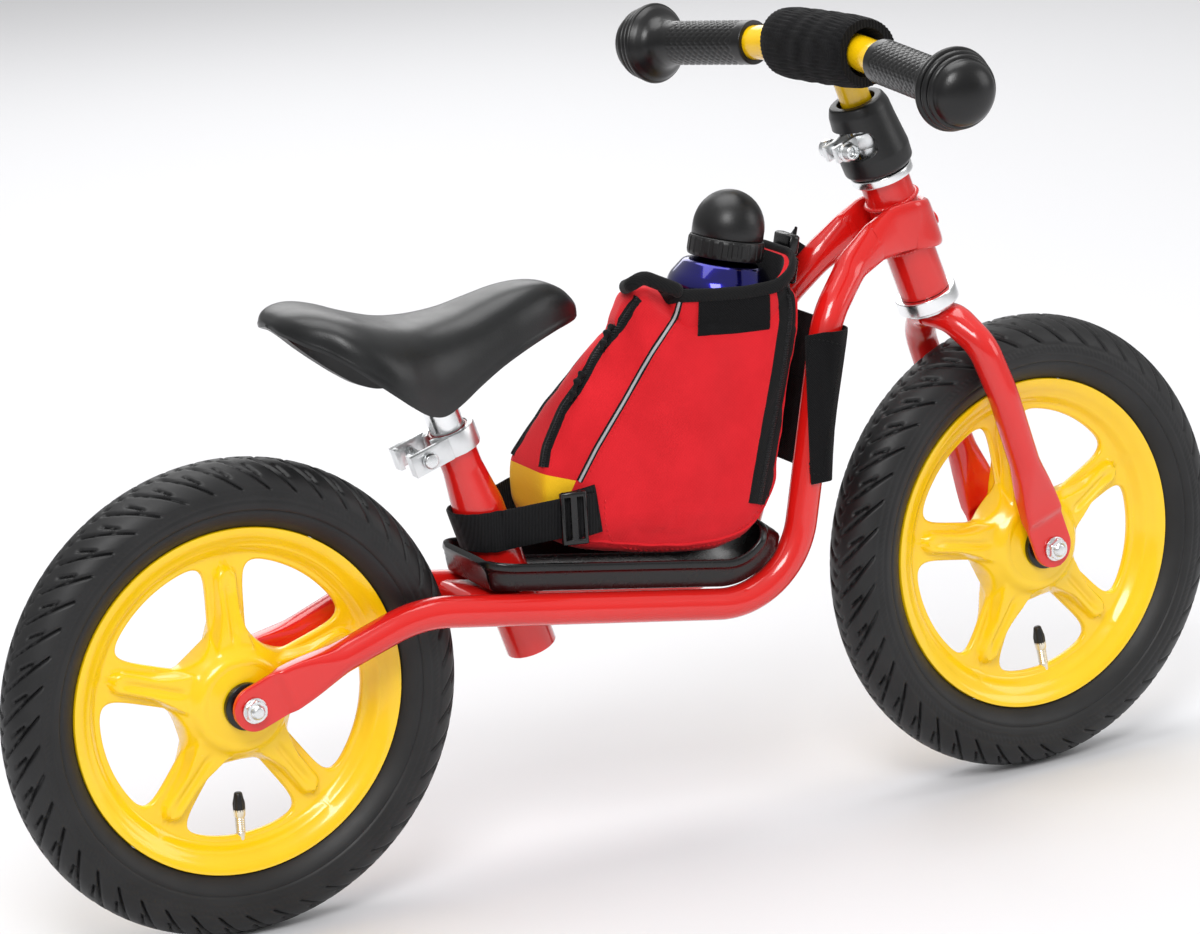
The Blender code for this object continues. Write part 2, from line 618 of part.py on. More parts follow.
def wheel(label, centre, parent):
    first = SPOKE_START[label]
    channel = [(RIM_FLANGE, 14.2), (RIM_FLANGE, 11.6), (98.5, 8.5), (98.5, -8.5),
               (RIM_FLANGE, -11.6), (RIM_FLANGE, -14.2), (98.0, -13.5), (88.0, -11.0),
               (88.0, 11.0), (98.0, 13.5)]
    rim = turned("wheel_" + label, channel, centre, SIDE, "rim_yellow", parent, WHEEL_STEPS,
                 ring=True)
    hub = turned(label + "_hub", [(0, HUB_HALF), (17, HUB_HALF), (27, 13), (27, -13),
                                  (17, -HUB_HALF), (0, -HUB_HALF)], centre, SIDE, "steel",
                 parent, cutter=True)
    cut(rim, hub, "UNION")
    for index in range(SPOKES):
        angle = first + 360 / SPOKES * index
        spoke = box(label + "_spoke_%d" % index, (76, 19, 27), centre, "steel", parent,
                    None, 4, True, 1)
        spoke.matrix_basis = (Matrix.Translation(centre) @ wheel_turn(angle)
                              @ Matrix.Translation((54 * MM, 0, 0)))
        cut(rim, spoke, "UNION")
    valve_angle = -90.0 + (first + 90.0 + VALVE_GAP) % 72.0
    cut(rim, radial_cutter(label + "_valve_hole", 4.2, 80, 104, centre, valve_angle, parent))
    for low, high, radius in ((-HUB_HALF - 1, -HUB_HALF + BEARING_WIDTH + GAP, BEARING_RADIUS + 0.2),
                              (HUB_HALF - BEARING_WIDTH - GAP, HUB_HALF + 1, BEARING_RADIUS + 0.2),
                              (-HUB_HALF, HUB_HALF, 7.0)):
        cut(rim, cylinder_cutter(label + "_hub_bore", radius, low, high, centre, SIDE, parent))

    tyre_profile = []
    count = 8
    opening = 36.0
    for index in range(count + 1):
        angle = math.radians(180 - opening - (360 - 2 * opening) * index / count)
        tyre_profile.append((TYRE_MAJOR + TYRE_SECTION * math.cos(angle),
                             TYRE_SECTION * math.sin(angle)))
    inside = TYRE_SECTION - 3.2
    for index in range(count, -1, -1):
        angle = math.radians(180 - opening - (360 - 2 * opening) * index / count)
        tyre_profile.append((TYRE_MAJOR + inside * math.cos(angle), inside * math.sin(angle)))
    turned("tyre_" + label, tyre_profile, centre, SIDE, "tyre_black", parent, WHEEL_STEPS,
           ring=True)

    tube_wall = []
    for radius, order in ((16.6, range(8)), (15.0, range(7, -1, -1))):
        tube_wall.append([(TYRE_MAJOR + radius * math.cos(2 * math.pi * k / 8),
                           -radius * math.sin(2 * math.pi * k / 8)) for k in order])
    name = "inner_tube_" + label
    tube = turned(name, tube_wall[0], centre, SIDE, "inner_rubber", parent, 20, ring=True)
    inside_air = turned(name + "_air", tube_wall[1][::-1], centre, SIDE, "steel", parent, 20,
                        ring=True, cutter=True)
    axis = Vector((math.cos(math.radians(valve_angle)), 0, math.sin(math.radians(valve_angle))))
    stem = turned(name + "_stem", [(0, 112), (3.4, 112), (3.4, 80), (5.6, 80), (5.6, 77),
                                   (2.8, 77), (2.8, 63), (0, 63)], centre, axis, "steel", parent,
                  12, cutter=True)
    cut(tube, stem, "UNION")
    cut(tube, inside_air)
    cut(tube, radial_cutter(name + "_bore", 1.3, 60, 120, centre, valve_angle, parent))

    turned("valve_cap_" + label, [(0, 62.5), (3.2, 62.5), (3.2, 74), (3.9, 74), (3.9, 66),
                                  (2.6, 60.5), (0, 60.5)],
           centre, axis, "black_plastic", parent, 12)
    turned("axle_" + label, [(0, 39.5), (AXLE_RADIUS, 39.5), (AXLE_RADIUS, -39.5), (0, -39.5)],
           centre, SIDE, "steel", parent, 16)
    for word, side in (("right", -1), ("left", 1)):
        axis = SIDE * side
        turned("bearing_%s_%s" % (label, word),
               pipe_ring(BEARING_RADIUS, AXLE_RADIUS + GAP, HUB_HALF - BEARING_WIDTH, HUB_HALF),
               centre, axis, "steel", parent, ring=True)
        turned("hub_cap_%s_%s" % (label, word),
               [(8.0, CAP_FACE), (8.0, 27.5), (14.7, 26.0), (14.7, HUB_HALF + GAP),
                (AXLE_RADIUS + GAP, HUB_HALF + GAP), (AXLE_RADIUS + GAP, CAP_FACE)],
               centre, axis, "black_plastic", parent, ring=True)
        turned("axle_nut_%s_%s" % (label, word),
               [(0, NUT_END), (3.0, NUT_END - 0.5), (4.9, NUT_END - 2.2), (4.9, NUT_END - 3),
                (6.9, NUT_END - 3), (6.9, NUT_FACE + 1.5), (8.0, NUT_FACE + 1.5),
                (8.0, NUT_FACE), (AXLE_RADIUS + GAP, NUT_FACE), (AXLE_RADIUS + GAP, 40.2),
                (0, 40.2)],
               centre, axis, "steel", parent, 12)


# Saddle

SADDLE = ((55, 30, 216, 225.5), (60, 41, 212, 231), (70, 52, 204, 232.5), (82, 57.5, 194, 229),
          (95, 59, 183.5, 223), (108, 57, 173.5, 218.5), (120, 52.5, 166, 215.5),
          (133, 47, 162.5, 214.5), (147, 42, 166.5, 214.7), (163, 37, 174.5, 216.5),
          (180, 32.5, 182.5, 220.8), (197, 28.5, 189, 224.6), (212, 24, 193.5, 226),
          (225, 19, 196.5, 224), (236, 13.5, 198, 218.5), (243, 8.5, 198.5, 211.5))
# each station: x, half width, skirt edge height, crown height


def saddle():
    across = 10
    points = []
    for x, half, low, high in SADDLE:
        for index in range(across + 1):
            angle = math.pi * index / across
            side = math.copysign(abs(math.cos(angle)) ** 0.62, math.cos(angle)) * half
            rise = low + (high - low) * math.sin(angle) ** 0.75
            points.append(place(x, side, rise))
    faces = []
    width = across + 1
    for row in range(len(SADDLE) - 1):
        for col in range(across):
            corner = row * width + col
            faces.append((corner, corner + 1, corner + width + 1, corner + width))
    last = (len(SADDLE) - 1) * width
    half_count = across // 2
    for start_row, flip in ((0, False), (last, True)):
        for col in range(half_count):
            quad = (start_row + col, start_row + across - col,
                    start_row + across - col - 1, start_row + col + 1)
            if quad[2] == quad[3]:
                quad = quad[:3]
            faces.append(quad if not flip else quad[::-1])
    mesh = bpy.data.meshes.new("saddle")
    mesh.from_pydata(points, [], faces)
    form = bmesh.new()
    form.from_mesh(mesh)
    bmesh.ops.recalc_face_normals(form, faces=form.faces)
    top = max(form.faces, key=lambda face: face.calc_center_median().z)
    if top.normal.z < 0:
        bmesh.ops.reverse_faces(form, faces=form.faces)
    form.to_mesh(mesh)
    form.free()
    smooth(mesh, 50)
    seat = add("saddle", mesh, "saddle_skin")
    wall = seat.modifiers.new("wall", "SOLIDIFY")
    wall.thickness = 4.0 * MM
    wall.offset = -1.0

    base = box("saddle_base", (62, 40, 12), place(140, 0, 200), "black_plastic", bevel=3)
    cut(base, cylinder_cutter("saddle_base_socket", 11 + GAP, 100, 211, seat_point(0), SEAT_UP))
    turned("seat_post", [(11, 210), (11, 60), (9.3, 60), (9.3, 210)], seat_point(0), SEAT_UP,
           "steel", ring=True)


def seat_clamp():
    low, high = 141.5, 155.5
    middle = (low + high) / 2
    band = turned("seat_clamp", pipe_ring(16.6, 13.0, low, high), seat_point(0), SEAT_UP,
                  "cast_alloy", ring=True)
    turn = facing(SEAT_UP)
    for side in (-1, 1):
        cut(band, box("seat_clamp_ear", (27, 3.6, high - low), seat_point(middle, 21.5, side * 13.8),
                      "steel", turn=turn, cutter=True), "UNION")
        cut(band, box("seat_clamp_lip", (3, 8, high - low), seat_point(middle, 33.4, side * 11.6),
                      "steel", turn=turn, cutter=True), "UNION")
    cut(band, box("seat_clamp_gap", (12, 9, 20), seat_point(middle, 15, 0), "steel",
                  turn=turn, cutter=True))
    cut(band, cylinder_cutter("seat_clamp_bore", 3.3, -20, 20, seat_point(middle, 24), SIDE,
                              steps=16))
    bolt = [(0, 17.2), (3.0, 17.2), (3.0, -15.9), (5.0, -15.9), (5.0, -18.6), (4.2, -20.0),
            (0, -20.0)]
    turned("seat_clamp_bolt", bolt, seat_point(middle, 24), SIDE, "steel")


# Bag, straps and bottle

BAG = ((207, 25, 82, 113), (214, 28, 68, 128), (224, 31, 58.5, 146), (236, 34, 54.5, 163),
       (250, 36.5, 51, 182), (262, 38, 48.5, 195), (272, 39.5, 46.5, 222),
       (280, 40, 45, 223.5), (300, 41, 42, 212), (322, 41.5, 40, 208), (342, 41.5, 44.5, 205.5),
       (354, 41, 54, 205), (364, 40, 68, 205), (372, 39, 98, 205.5), (380, 38, 136, 206.5),
       (386, 37, 162, 206))
# each station: x, half width, bottom height, top height


def bag():
    rings = []
    for x, half, low, high in BAG:
        centre = Vector((x, 0, (low + high) / 2))
        ring = section(centre, SIDE, Vector((0, 0, 1)), half, (high - low) / 2, 5.0, 20)
        rings.append([place(*p) for p in ring])
    body = loft("bag", rings, "bag_fabric")
    pocket = cylinder_cutter("bag_pocket", BOTTLE_RADIUS + 1.0, -0.6, 200, bottle_point(0),
                             BOTTLE_UP)
    return cut(body, pocket)


def bottle():
    body = [(0, 158), (17, 158), (17, 153), (21, 152), (27.5, 147), (32, 139), (BOTTLE_RADIUS, 129),
            (BOTTLE_RADIUS, 4), (31, 0), (0, 0)]
    turned("bottle", body, bottle_point(0), BOTTLE_UP, "bottle_blue", steps=24)
    collar = [(20.0, 166), (23.6, 165.5), (23.6, 154.5), (22.4, 153.3), (17.3, 153.3),
              (17.3, 158.4), (11, 158.4), (11, 166)]
    turned("bottle_collar", collar, bottle_point(0), BOTTLE_UP, "black_plastic",
           ring=True, steps=24)
    dome = [(0, 196)]
    for angle in (66, 40, 18, 0):
        turn = math.radians(angle)
        dome.append((22.6 * math.cos(turn), 172 + 24 * math.sin(turn)))
    dome += [(22.6, 166.3), (20.8, 166.3), (20.8, 172), (14, 189), (0, 193)]
    turned("bottle_cap", dome, bottle_point(0), BOTTLE_UP, "black_plastic", steps=24)


def ribbon(name, path, half_width, half_thick, up, look="webbing"):
    rings = []
    for index, point in enumerate(path):
        ahead = tangent(path, index)
        rise = (up - ahead * up.dot(ahead)).normalized()
        out = ahead.cross(rise)
        rings.append([place(*(point + rise * a * half_width + out * b * half_thick))
                      for a, b in ((-1, -1), (1, -1), (1, 1), (-1, 1))])
    return loft(name, rings, look)


STRAP_HALF_WIDTH = 13.0
STRAP_HALF_THICK = 0.8
STRAP_HEIGHT = 77.0       # where the strap passes behind the seat tube
STRAP_RADIUS = 18.4
STRAP_STEPS = 8
SLIDER_SIZE = (17, 3.4, 34)
SLIDER_WINDOW = (4, 10, 27)
SLIDER_WINDOW_OFFSET = 4.0
SLIDER_MIDDLE = (220.0, -38.3, 82.4)
SLIDER_TURN = -14.0


def straps():
    # webbing round the seat tube, from one side of the bag to the other
    centre_x = SEAT_BASE[0] - math.tan(math.radians(SEAT_LEAN)) * (STRAP_HEIGHT - SEAT_BASE[1])
    path = [Vector((236, -38.0, 83)), Vector((214, -32.5, 82))]
    for index in range(STRAP_STEPS + 1):
        angle = math.radians(-80 - 200 * index / STRAP_STEPS)
        # the strap passes a leaning tube, so its level section is a little longer than wide
        path.append(Vector((centre_x + STRAP_RADIUS * math.cos(angle) * 1.06,
                            STRAP_RADIUS * math.sin(angle), STRAP_HEIGHT)))
    path += [Vector((214, 32.5, 82)), Vector((236, 38.0, 83))]
    ribbon("seat_strap", path, STRAP_HALF_WIDTH, STRAP_HALF_THICK, SEAT_UP)

    lie = Matrix.Rotation(math.radians(SLIDER_TURN), 4, "Z")
    middle = place(*SLIDER_MIDDLE)
    slider = box("strap_slider", SLIDER_SIZE, middle, "gloss_plastic", turn=lie, bevel=1.0)
    for offset in (-SLIDER_WINDOW_OFFSET, SLIDER_WINDOW_OFFSET):
        spot = middle + lie.to_3x3() @ Vector((offset, 0, 0)) * MM
        cut(slider, box("slider_window", SLIDER_WINDOW, spot, "steel", turn=lie, cutter=True))


def frame_buckle():
    # side-release buckle on a webbing loop round the left frame tube
    lean = Matrix.Rotation(math.radians(12), 4, "Y")
    box("buckle_socket", (10, 24, 17), place(397, 3, 206), "gloss_plastic", turn=lean, bevel=1.5)
    box("buckle_plug", (8, 22, 13), place(400.2, 3, 221.6), "gloss_plastic", turn=lean, bevel=1.5)
    path = [Vector((x, y, z)) for x, y, z in
            ((407, 6, 221), (411, 12, 219), (414, 22, 214), (419, 34, 209.5), (427, 42, 203),
             (434, 41, 197))]
    ribbon("frame_strap", path, 9.5, 0.8, Vector((0.25, 0, 1)))


WRAP_LOW = 78.0
WRAP_HIGH = 172.0
WRAP_HALF_THICK = 1.0
WRAP_OFF_TUBE = 1.6       # from the tube's surface to the middle of the wrap
DOWN_TUBE_FOOT = 372.2    # the down tubes' centre line is at x = foot + lean * z
DOWN_TUBE_LEAN = 0.2043


def tube_wrap():
    # hook-and-loop panel that joins the bag to the twin down tubes
    slope = Vector((DOWN_TUBE_LEAN, 0, 1)).normalized()
    flat = Vector((slope.z, 0, -slope.x))
    out = TUBE_RADIUS + WRAP_OFF_TUBE
    outline = [(-14.0, TUBE_SIDE + out)]
    for index in range(6):
        angle = math.radians(90 * (1 - index / 5))
        outline.append((out * math.cos(angle), TUBE_SIDE - 0.5 + out * math.sin(angle)))
    half = [Vector((a, b, 0)) for a, b in outline]
    whole = half + [Vector((p.x, -p.y, 0)) for p in reversed(half)]
    rings = []
    for index, point in enumerate(whole):
        ahead = tangent(whole, index)
        side_out = Vector((-ahead.y, ahead.x, 0))
        ring = []
        for along, offset in ((WRAP_LOW, -1), (WRAP_HIGH, -1), (WRAP_HIGH, 1), (WRAP_LOW, 1)):
            spot = point + side_out * offset * WRAP_HALF_THICK
            middle = Vector((DOWN_TUBE_FOOT + DOWN_TUBE_LEAN * along, 0, along))
            ring.append(place(*(middle + flat * spot.x + SIDE * spot.y)))
        rings.append(ring)
    return loft("tube_wrap", rings, "pad_fabric")


# Assembly

def build():
    frame_side(1)
    frame_side(-1)
    head_loop()
    head_tube()
    seat_tube()
    seat_bridge()
    footboard()
    headset()

    turn = bpy.data.objects.new("steering_axis", None)
    COLLECTIONS["balance_bike"].objects.link(turn)
    turn.location = head_point(0)
    fork_steerer(turn)
    fork_leg(turn, 1)
    fork_leg(turn, -1)
    stem_clamp(turn)
    stem_cover(turn)
    handlebar(turn)
    grip(turn, 1)
    grip(turn, -1)
    wheel("front", FRONT_AXLE, turn)
    turn.rotation_mode = "AXIS_ANGLE"
    turn.rotation_axis_angle = (math.radians(REST_STEER), *HEAD_UP)

    wheel("rear", REAR_AXLE, None)
    saddle()
    seat_clamp()
    bag()
    bottle()
    straps()
    frame_buckle()
    tube_wrap()


build()
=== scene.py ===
import json
import math

import bmesh
import bpy
import numpy as np
from mathutils import Matrix, Vector
from mathutils.bvhtree import BVHTree

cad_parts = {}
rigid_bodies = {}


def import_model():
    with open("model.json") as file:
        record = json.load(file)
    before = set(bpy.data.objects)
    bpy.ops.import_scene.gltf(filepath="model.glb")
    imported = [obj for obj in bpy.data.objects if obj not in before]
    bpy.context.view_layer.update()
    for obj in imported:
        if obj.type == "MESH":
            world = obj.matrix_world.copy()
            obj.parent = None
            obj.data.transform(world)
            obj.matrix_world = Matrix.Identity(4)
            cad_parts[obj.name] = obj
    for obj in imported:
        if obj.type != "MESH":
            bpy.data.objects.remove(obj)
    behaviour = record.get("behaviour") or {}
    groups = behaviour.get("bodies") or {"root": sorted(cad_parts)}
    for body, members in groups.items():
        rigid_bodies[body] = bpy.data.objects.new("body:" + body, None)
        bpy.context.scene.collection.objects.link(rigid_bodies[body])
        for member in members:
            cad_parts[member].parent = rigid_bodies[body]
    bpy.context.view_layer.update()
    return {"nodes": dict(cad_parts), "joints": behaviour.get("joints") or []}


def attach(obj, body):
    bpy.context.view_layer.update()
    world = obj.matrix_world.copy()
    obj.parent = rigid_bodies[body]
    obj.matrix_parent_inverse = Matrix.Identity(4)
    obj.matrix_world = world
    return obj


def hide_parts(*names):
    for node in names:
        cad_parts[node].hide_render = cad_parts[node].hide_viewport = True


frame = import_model()
print("frame loaded")

mm = 0.001
joints = {joint["name"]: joint for joint in frame["joints"]}
side = np.array((0.0, 1.0, 0.0))
rearAxle = np.array(joints["rear_wheel_spin"]["pos_m"])
frontAxle = np.array(joints["front_wheel_spin"]["pos_m"])
frontSide = np.array(joints["front_wheel_spin"]["axis"])
headBase = np.array(joints["steering"]["pos_m"])
headUp = np.array(joints["steering"]["axis"])
headForward = np.cross(side, headUp)
seatUp = np.array(joints["seat_height"]["axis"])
bottleUp = np.array(joints["bottle_lift"]["axis"])
restSteer = math.acos(float(side @ frontSide))


# places and grids

def place(points):
    # millimetres from the rear axle, to metres in the frame
    return rearAxle + np.asarray(points, float) * mm


def steered(points):
    # turns points about the head axis by the angle that the bars stand at
    rel = np.asarray(points, float) - headBase
    cos, sin = math.cos(restSteer), math.sin(restSteer)
    return (headBase + rel * cos + np.cross(headUp, rel) * sin
            + np.outer(rel.reshape(-1, 3) @ headUp, headUp).reshape(rel.shape) * (1 - cos))


def headPoints(along, forward=0.0, across=0.0):
    # points given in millimetres up the head axis, forwards and to the left, bars straight
    a, f, s = np.broadcast_arrays(np.asarray(along, float), forward, across)
    return (headBase + a[..., None] * headUp * mm + f[..., None] * headForward * mm
            + s[..., None] * side * mm)


seatBase = place((204.5, 0, -5.0))
bottleBase = place((322.0, 0, 70.0))


def quads(rowCount, colCount, closeRows=False, closeCols=False):
    # index grid of the four-sided faces between neighbouring rows and columns
    i = np.arange(rowCount if closeRows else rowCount - 1)
    j = np.arange(colCount if closeCols else colCount - 1)
    a, b = np.meshgrid(i, j, indexing="ij")
    after, beside = (a + 1) % rowCount, (b + 1) % colCount
    return np.stack([a * colCount + b, after * colCount + b,
                     after * colCount + beside, a * colCount + beside], -1).reshape(-1, 4)


def makePiece(name, points, faces, material, sharp=40.0, body=None, slot=None, nodes=()):
    # joins touching points, turns faces outwards and hands the piece to its body
    mesh = bpy.data.meshes.new(name)
    mesh.from_pydata(np.asarray(points, float).reshape(-1, 3).tolist(), [],
                     np.asarray(faces).tolist() if not isinstance(faces, list) else faces)
    form = bmesh.new()
    form.from_mesh(mesh)
    bmesh.ops.remove_doubles(form, verts=form.verts, dist=2e-6)
    bmesh.ops.dissolve_degenerate(form, edges=form.edges, dist=1e-7)
    bmesh.ops.recalc_face_normals(form, faces=form.faces)
    form.to_mesh(mesh)
    form.free()
    piece = bpy.data.objects.new(name, mesh)
    bpy.context.scene.collection.objects.link(piece)
    mesh.materials.append(material)
    mesh.shade_smooth()
    mesh.set_sharp_from_angle(angle=math.radians(sharp))
    if body:
        hand(piece, body, slot, *nodes)
    return piece


def hand(piece, body, slot, *nodes):
    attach(piece, body)
    if nodes:
        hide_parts(*nodes)
    return piece


def bake(piece):
    # the piece's modifiers become its mesh
    bpy.context.view_layer.update()
    done = bpy.data.meshes.new_from_object(
        piece.evaluated_get(bpy.context.evaluated_depsgraph_get()))
    piece.modifiers.clear()
    piece.data = done
    return piece


def filletPath(corners, radii, step=4.0):
    # straight runs joined by arcs of the given radii, as an array of points
    corners = [np.asarray(c, float) for c in corners]
    path = [corners[0][None]]
    for before, corner, after, radius in zip(corners, corners[1:], corners[2:], radii):
        inward = (before - corner) / np.linalg.norm(before - corner)
        outward = (after - corner) / np.linalg.norm(after - corner)
        half = math.acos(np.clip(inward @ outward, -1, 1)) / 2
        if radius <= 0 or half > math.pi / 2 - 0.002:
            path.append(corner[None])
            continue
        bisector = (inward + outward) / np.linalg.norm(inward + outward)
        centre = corner + bisector * radius / math.sin(half)
        reach = radius / math.tan(half)
        first, last = corner + inward * reach - centre, corner + outward * reach - centre
        sweepAngle = math.pi - 2 * half
        count = max(2, math.ceil(max(radius * sweepAngle / step, sweepAngle / 0.28)))
        t = np.linspace(0, 1, count + 1)[:, None]
        path.append(centre + (np.sin((1 - t) * sweepAngle) * first + np.sin(t * sweepAngle) * last)
                    / math.sin(sweepAngle))
    path.append(corners[-1][None])
    return np.concatenate(path)


def resample(path, step):
    # the same line with points at even distances
    gaps = np.linalg.norm(np.diff(path, axis=0), axis=1)
    run = np.concatenate([[0], np.cumsum(gaps)])
    even = np.linspace(0, run[-1], max(3, math.ceil(run[-1] / step) + 1))
    return np.stack([np.interp(even, run, path[:, k]) for k in range(path.shape[1])], 1)


def runLength(path):
    return np.concatenate([[0], np.cumsum(np.linalg.norm(np.diff(path, axis=0), axis=1))])


def sweep(path, wide, tall, power, sides, wideAxis=side, caps=True):
    # carries a superellipse along a path: across is wide times a power of cosine, up is
    # tall times the same power of sine, and power 2 gives a round section
    ahead = np.gradient(path, axis=0)
    ahead /= np.linalg.norm(ahead, axis=1, keepdims=True)
    wideAxis = np.broadcast_to(np.asarray(wideAxis, float), path.shape)
    up = np.cross(ahead, wideAxis)
    up /= np.linalg.norm(up, axis=1, keepdims=True)
    across = np.cross(up, ahead)
    turn = np.linspace(0, 2 * math.pi, sides, endpoint=False)[None, :]
    wide, tall, power = (np.broadcast_to(np.asarray(v, float), len(path))[:, None]
                         for v in (wide, tall, power))
    a = np.sign(np.cos(turn)) * np.abs(np.cos(turn)) ** (2 / power) * wide
    b = np.sign(np.sin(turn)) * np.abs(np.sin(turn)) ** (2 / power) * tall
    rings = path[:, None] + a[..., None] * across[:, None] + b[..., None] * up[:, None]
    if caps:
        ends = [np.broadcast_to(rings[k].mean(0), rings[k].shape)[None] for k in (0, -1)]
        rings = np.concatenate([ends[0], rings, ends[1]])
    return rings


def basis(axis):
    axis = np.asarray(axis, float) / np.linalg.norm(axis)
    first = np.array((1.0, 0, 0)) if abs(axis[1]) > 0.9 else np.cross(side, axis)
    first = first - axis * (first @ axis)
    first /= np.linalg.norm(first)
    return first, np.cross(axis, first), axis


def revolve(profile, centre, axis, count=64, relief=None):
    # turns a profile of radius and height, in millimetres, about the axis; relief adds to
    # the radius as a function of angle and height
    profile = np.asarray(profile, float)
    turn = np.linspace(0, 2 * math.pi, count, endpoint=False)[None, :]
    radius, height = profile[:, :1], profile[:, 1:2]
    if relief is not None:
        radius = radius + relief(turn, height, radius)
    first, second, third = basis(axis)
    return centre + mm * ((radius * np.cos(turn))[..., None] * first
                          + (radius * np.sin(turn))[..., None] * second
                          + np.broadcast_to(height, (len(profile), count))[..., None] * third)


def turnedPiece(name, corners, radii, centre, axis, material, body, slot, nodes=(), count=64,
                relief=None, sharp=35.0, closed=True, step=1.2):
    # a turned part whose profile corners are rounded; a closed profile makes a ring
    corners = [tuple(c) for c in corners]
    if closed:
        middle = tuple(np.mean([corners[0], corners[-1]], axis=0))
        line = filletPath([middle] + corners + [middle], radii, step)[:-1]
    else:
        line = filletPath(corners, radii, step)
    points = revolve(line, centre, axis, count, relief)
    return makePiece(name, points, quads(len(line), count, closed, True), material, sharp, body,
                     slot, nodes)


def smoothStep(x, low, high):
    t = np.clip((x - low) / (high - low), 0, 1)
    return t * t * (3 - 2 * t)


def splineThrough(stations, at):
    # Catmull-Rom curve through the rows of stations, read at fractional row numbers
    stations = np.asarray(stations, float)
    padded = np.concatenate([2 * stations[:1] - stations[1:2], stations,
                             2 * stations[-1:] - stations[-2:-1]])
    k = np.clip(np.floor(at).astype(int), 0, len(stations) - 2)
    t = (at - k)[:, None]
    p0, p1, p2, p3 = (padded[k + n] for n in range(4))
    return 0.5 * (2 * p1 + (p2 - p0) * t + (2 * p0 - 5 * p1 + 4 * p2 - p3) * t ** 2
                  + (3 * p1 - p0 - 3 * p2 + p3) * t ** 3)


# materials

def linear(hexColour):
    # sRGB hex to linear colour
    parts = [int(hexColour[k:k + 2], 16) / 255 for k in (0, 2, 4)]
    return [p / 12.92 if p <= 0.04045 else ((p + 0.055) / 1.055) ** 2.4 for p in parts] + [1.0]


def node(tree, kind, settings=None, links=None):
    # adds a node, sets its properties or sockets, and links its inputs
    made = tree.nodes.new(kind)
    for key, value in (settings or {}).items():
        if isinstance(key, str) and key in made.bl_rna.properties:
            setattr(made, key, value)
        else:
            made.inputs[key].default_value = value
    for key, output in (links or {}).items():
        tree.links.new(output, made.inputs[key])
    return made


def newMaterial(name, shaderSettings):
    made = bpy.data.materials.new(name)
    made.use_nodes = True
    tree = made.node_tree
    shader = tree.nodes["Principled BSDF"]
    for key, value in shaderSettings.items():
        shader.inputs[key].default_value = value
    return made, tree, shader


def tones(tree, factor, stops):
    # colour ramp from a factor, stops are (position, hex)
    ramp = node(tree, "ShaderNodeValToRGB", {}, {"Fac": factor})
    elements = ramp.color_ramp.elements
    while len(elements) < len(stops):
        elements.new(0.5)
    for element, (position, colour) in zip(elements, stops):
        element.position = position
        element.color = linear(colour)
    return ramp.outputs["Color"]


def spots(tree, coords, size, detail=2.0, stretch=None):
    # noise whose features are about size millimetres across
    source = coords
    if stretch:
        source = node(tree, "ShaderNodeMapping", {"Scale": stretch}, {"Vector": coords}).outputs[0]
    return node(tree, "ShaderNodeTexNoise", {"Scale": 1 / (size * mm), "Detail": detail},
                {"Vector": source}).outputs["Fac"]


def bump(tree, shader, height, depth, previous=None):
    # depth is in millimetres
    links = {"Height": height}
    if previous is not None:
        links["Normal"] = previous
    made = node(tree, "ShaderNodeBump", {"Distance": depth * mm, "Strength": 1.0}, links)
    tree.links.new(made.outputs["Normal"], shader.inputs["Normal"])
    return made.outputs["Normal"]


def glossPaint(name, light, dark, rough, coat, peel=0.05):
    # powder coat or lacquer: an even colour, a glossy skin and faint orange peel
    made, tree, shader = newMaterial(name, {"Roughness": rough, "Coat Weight": coat,
                                            "Coat Roughness": 0.06, "IOR": 1.5})
    coords = node(tree, "ShaderNodeTexCoord").outputs["Object"]
    colour = tones(tree, spots(tree, coords, 90), [(0.2, dark), (0.8, light)])
    tree.links.new(colour, shader.inputs["Base Color"])
    bump(tree, shader, spots(tree, coords, 2.6), peel)
    return made


def mouldedPlastic(name, light, dark, rough, grain, depth, coat=0.0):
    # injection-moulded plastic: an even colour with the mould's fine grain
    made, tree, shader = newMaterial(name, {"Roughness": rough, "IOR": 1.48, "Coat Weight": coat,
                                            "Coat Roughness": 0.1})
    coords = node(tree, "ShaderNodeTexCoord").outputs["Object"]
    wide = spots(tree, coords, 30)
    tree.links.new(tones(tree, wide, [(0.35, dark), (0.65, light)]), shader.inputs["Base Color"])
    vary = node(tree, "ShaderNodeMapRange", {"To Min": rough - 0.05, "To Max": rough + 0.06},
                {"Value": spots(tree, coords, 9)})
    tree.links.new(vary.outputs["Result"], shader.inputs["Roughness"])
    bump(tree, shader, spots(tree, coords, grain, 4), depth)
    return made


def metalFinish(name, colour, rough, brush, depth):
    # plated or cast metal: bright, with fine marks that vary its gloss
    made, tree, shader = newMaterial(name, {"Metallic": 1.0, "Roughness": rough,
                                            "Base Color": linear(colour)})
    coords = node(tree, "ShaderNodeTexCoord").outputs["Object"]
    grain = spots(tree, coords, brush, 4)
    vary = node(tree, "ShaderNodeMapRange", {"To Min": max(0.04, rough - 0.07),
                                             "To Max": rough + 0.09}, {"Value": grain})
    tree.links.new(vary.outputs["Result"], shader.inputs["Roughness"])
    bump(tree, shader, grain, depth)
    return made


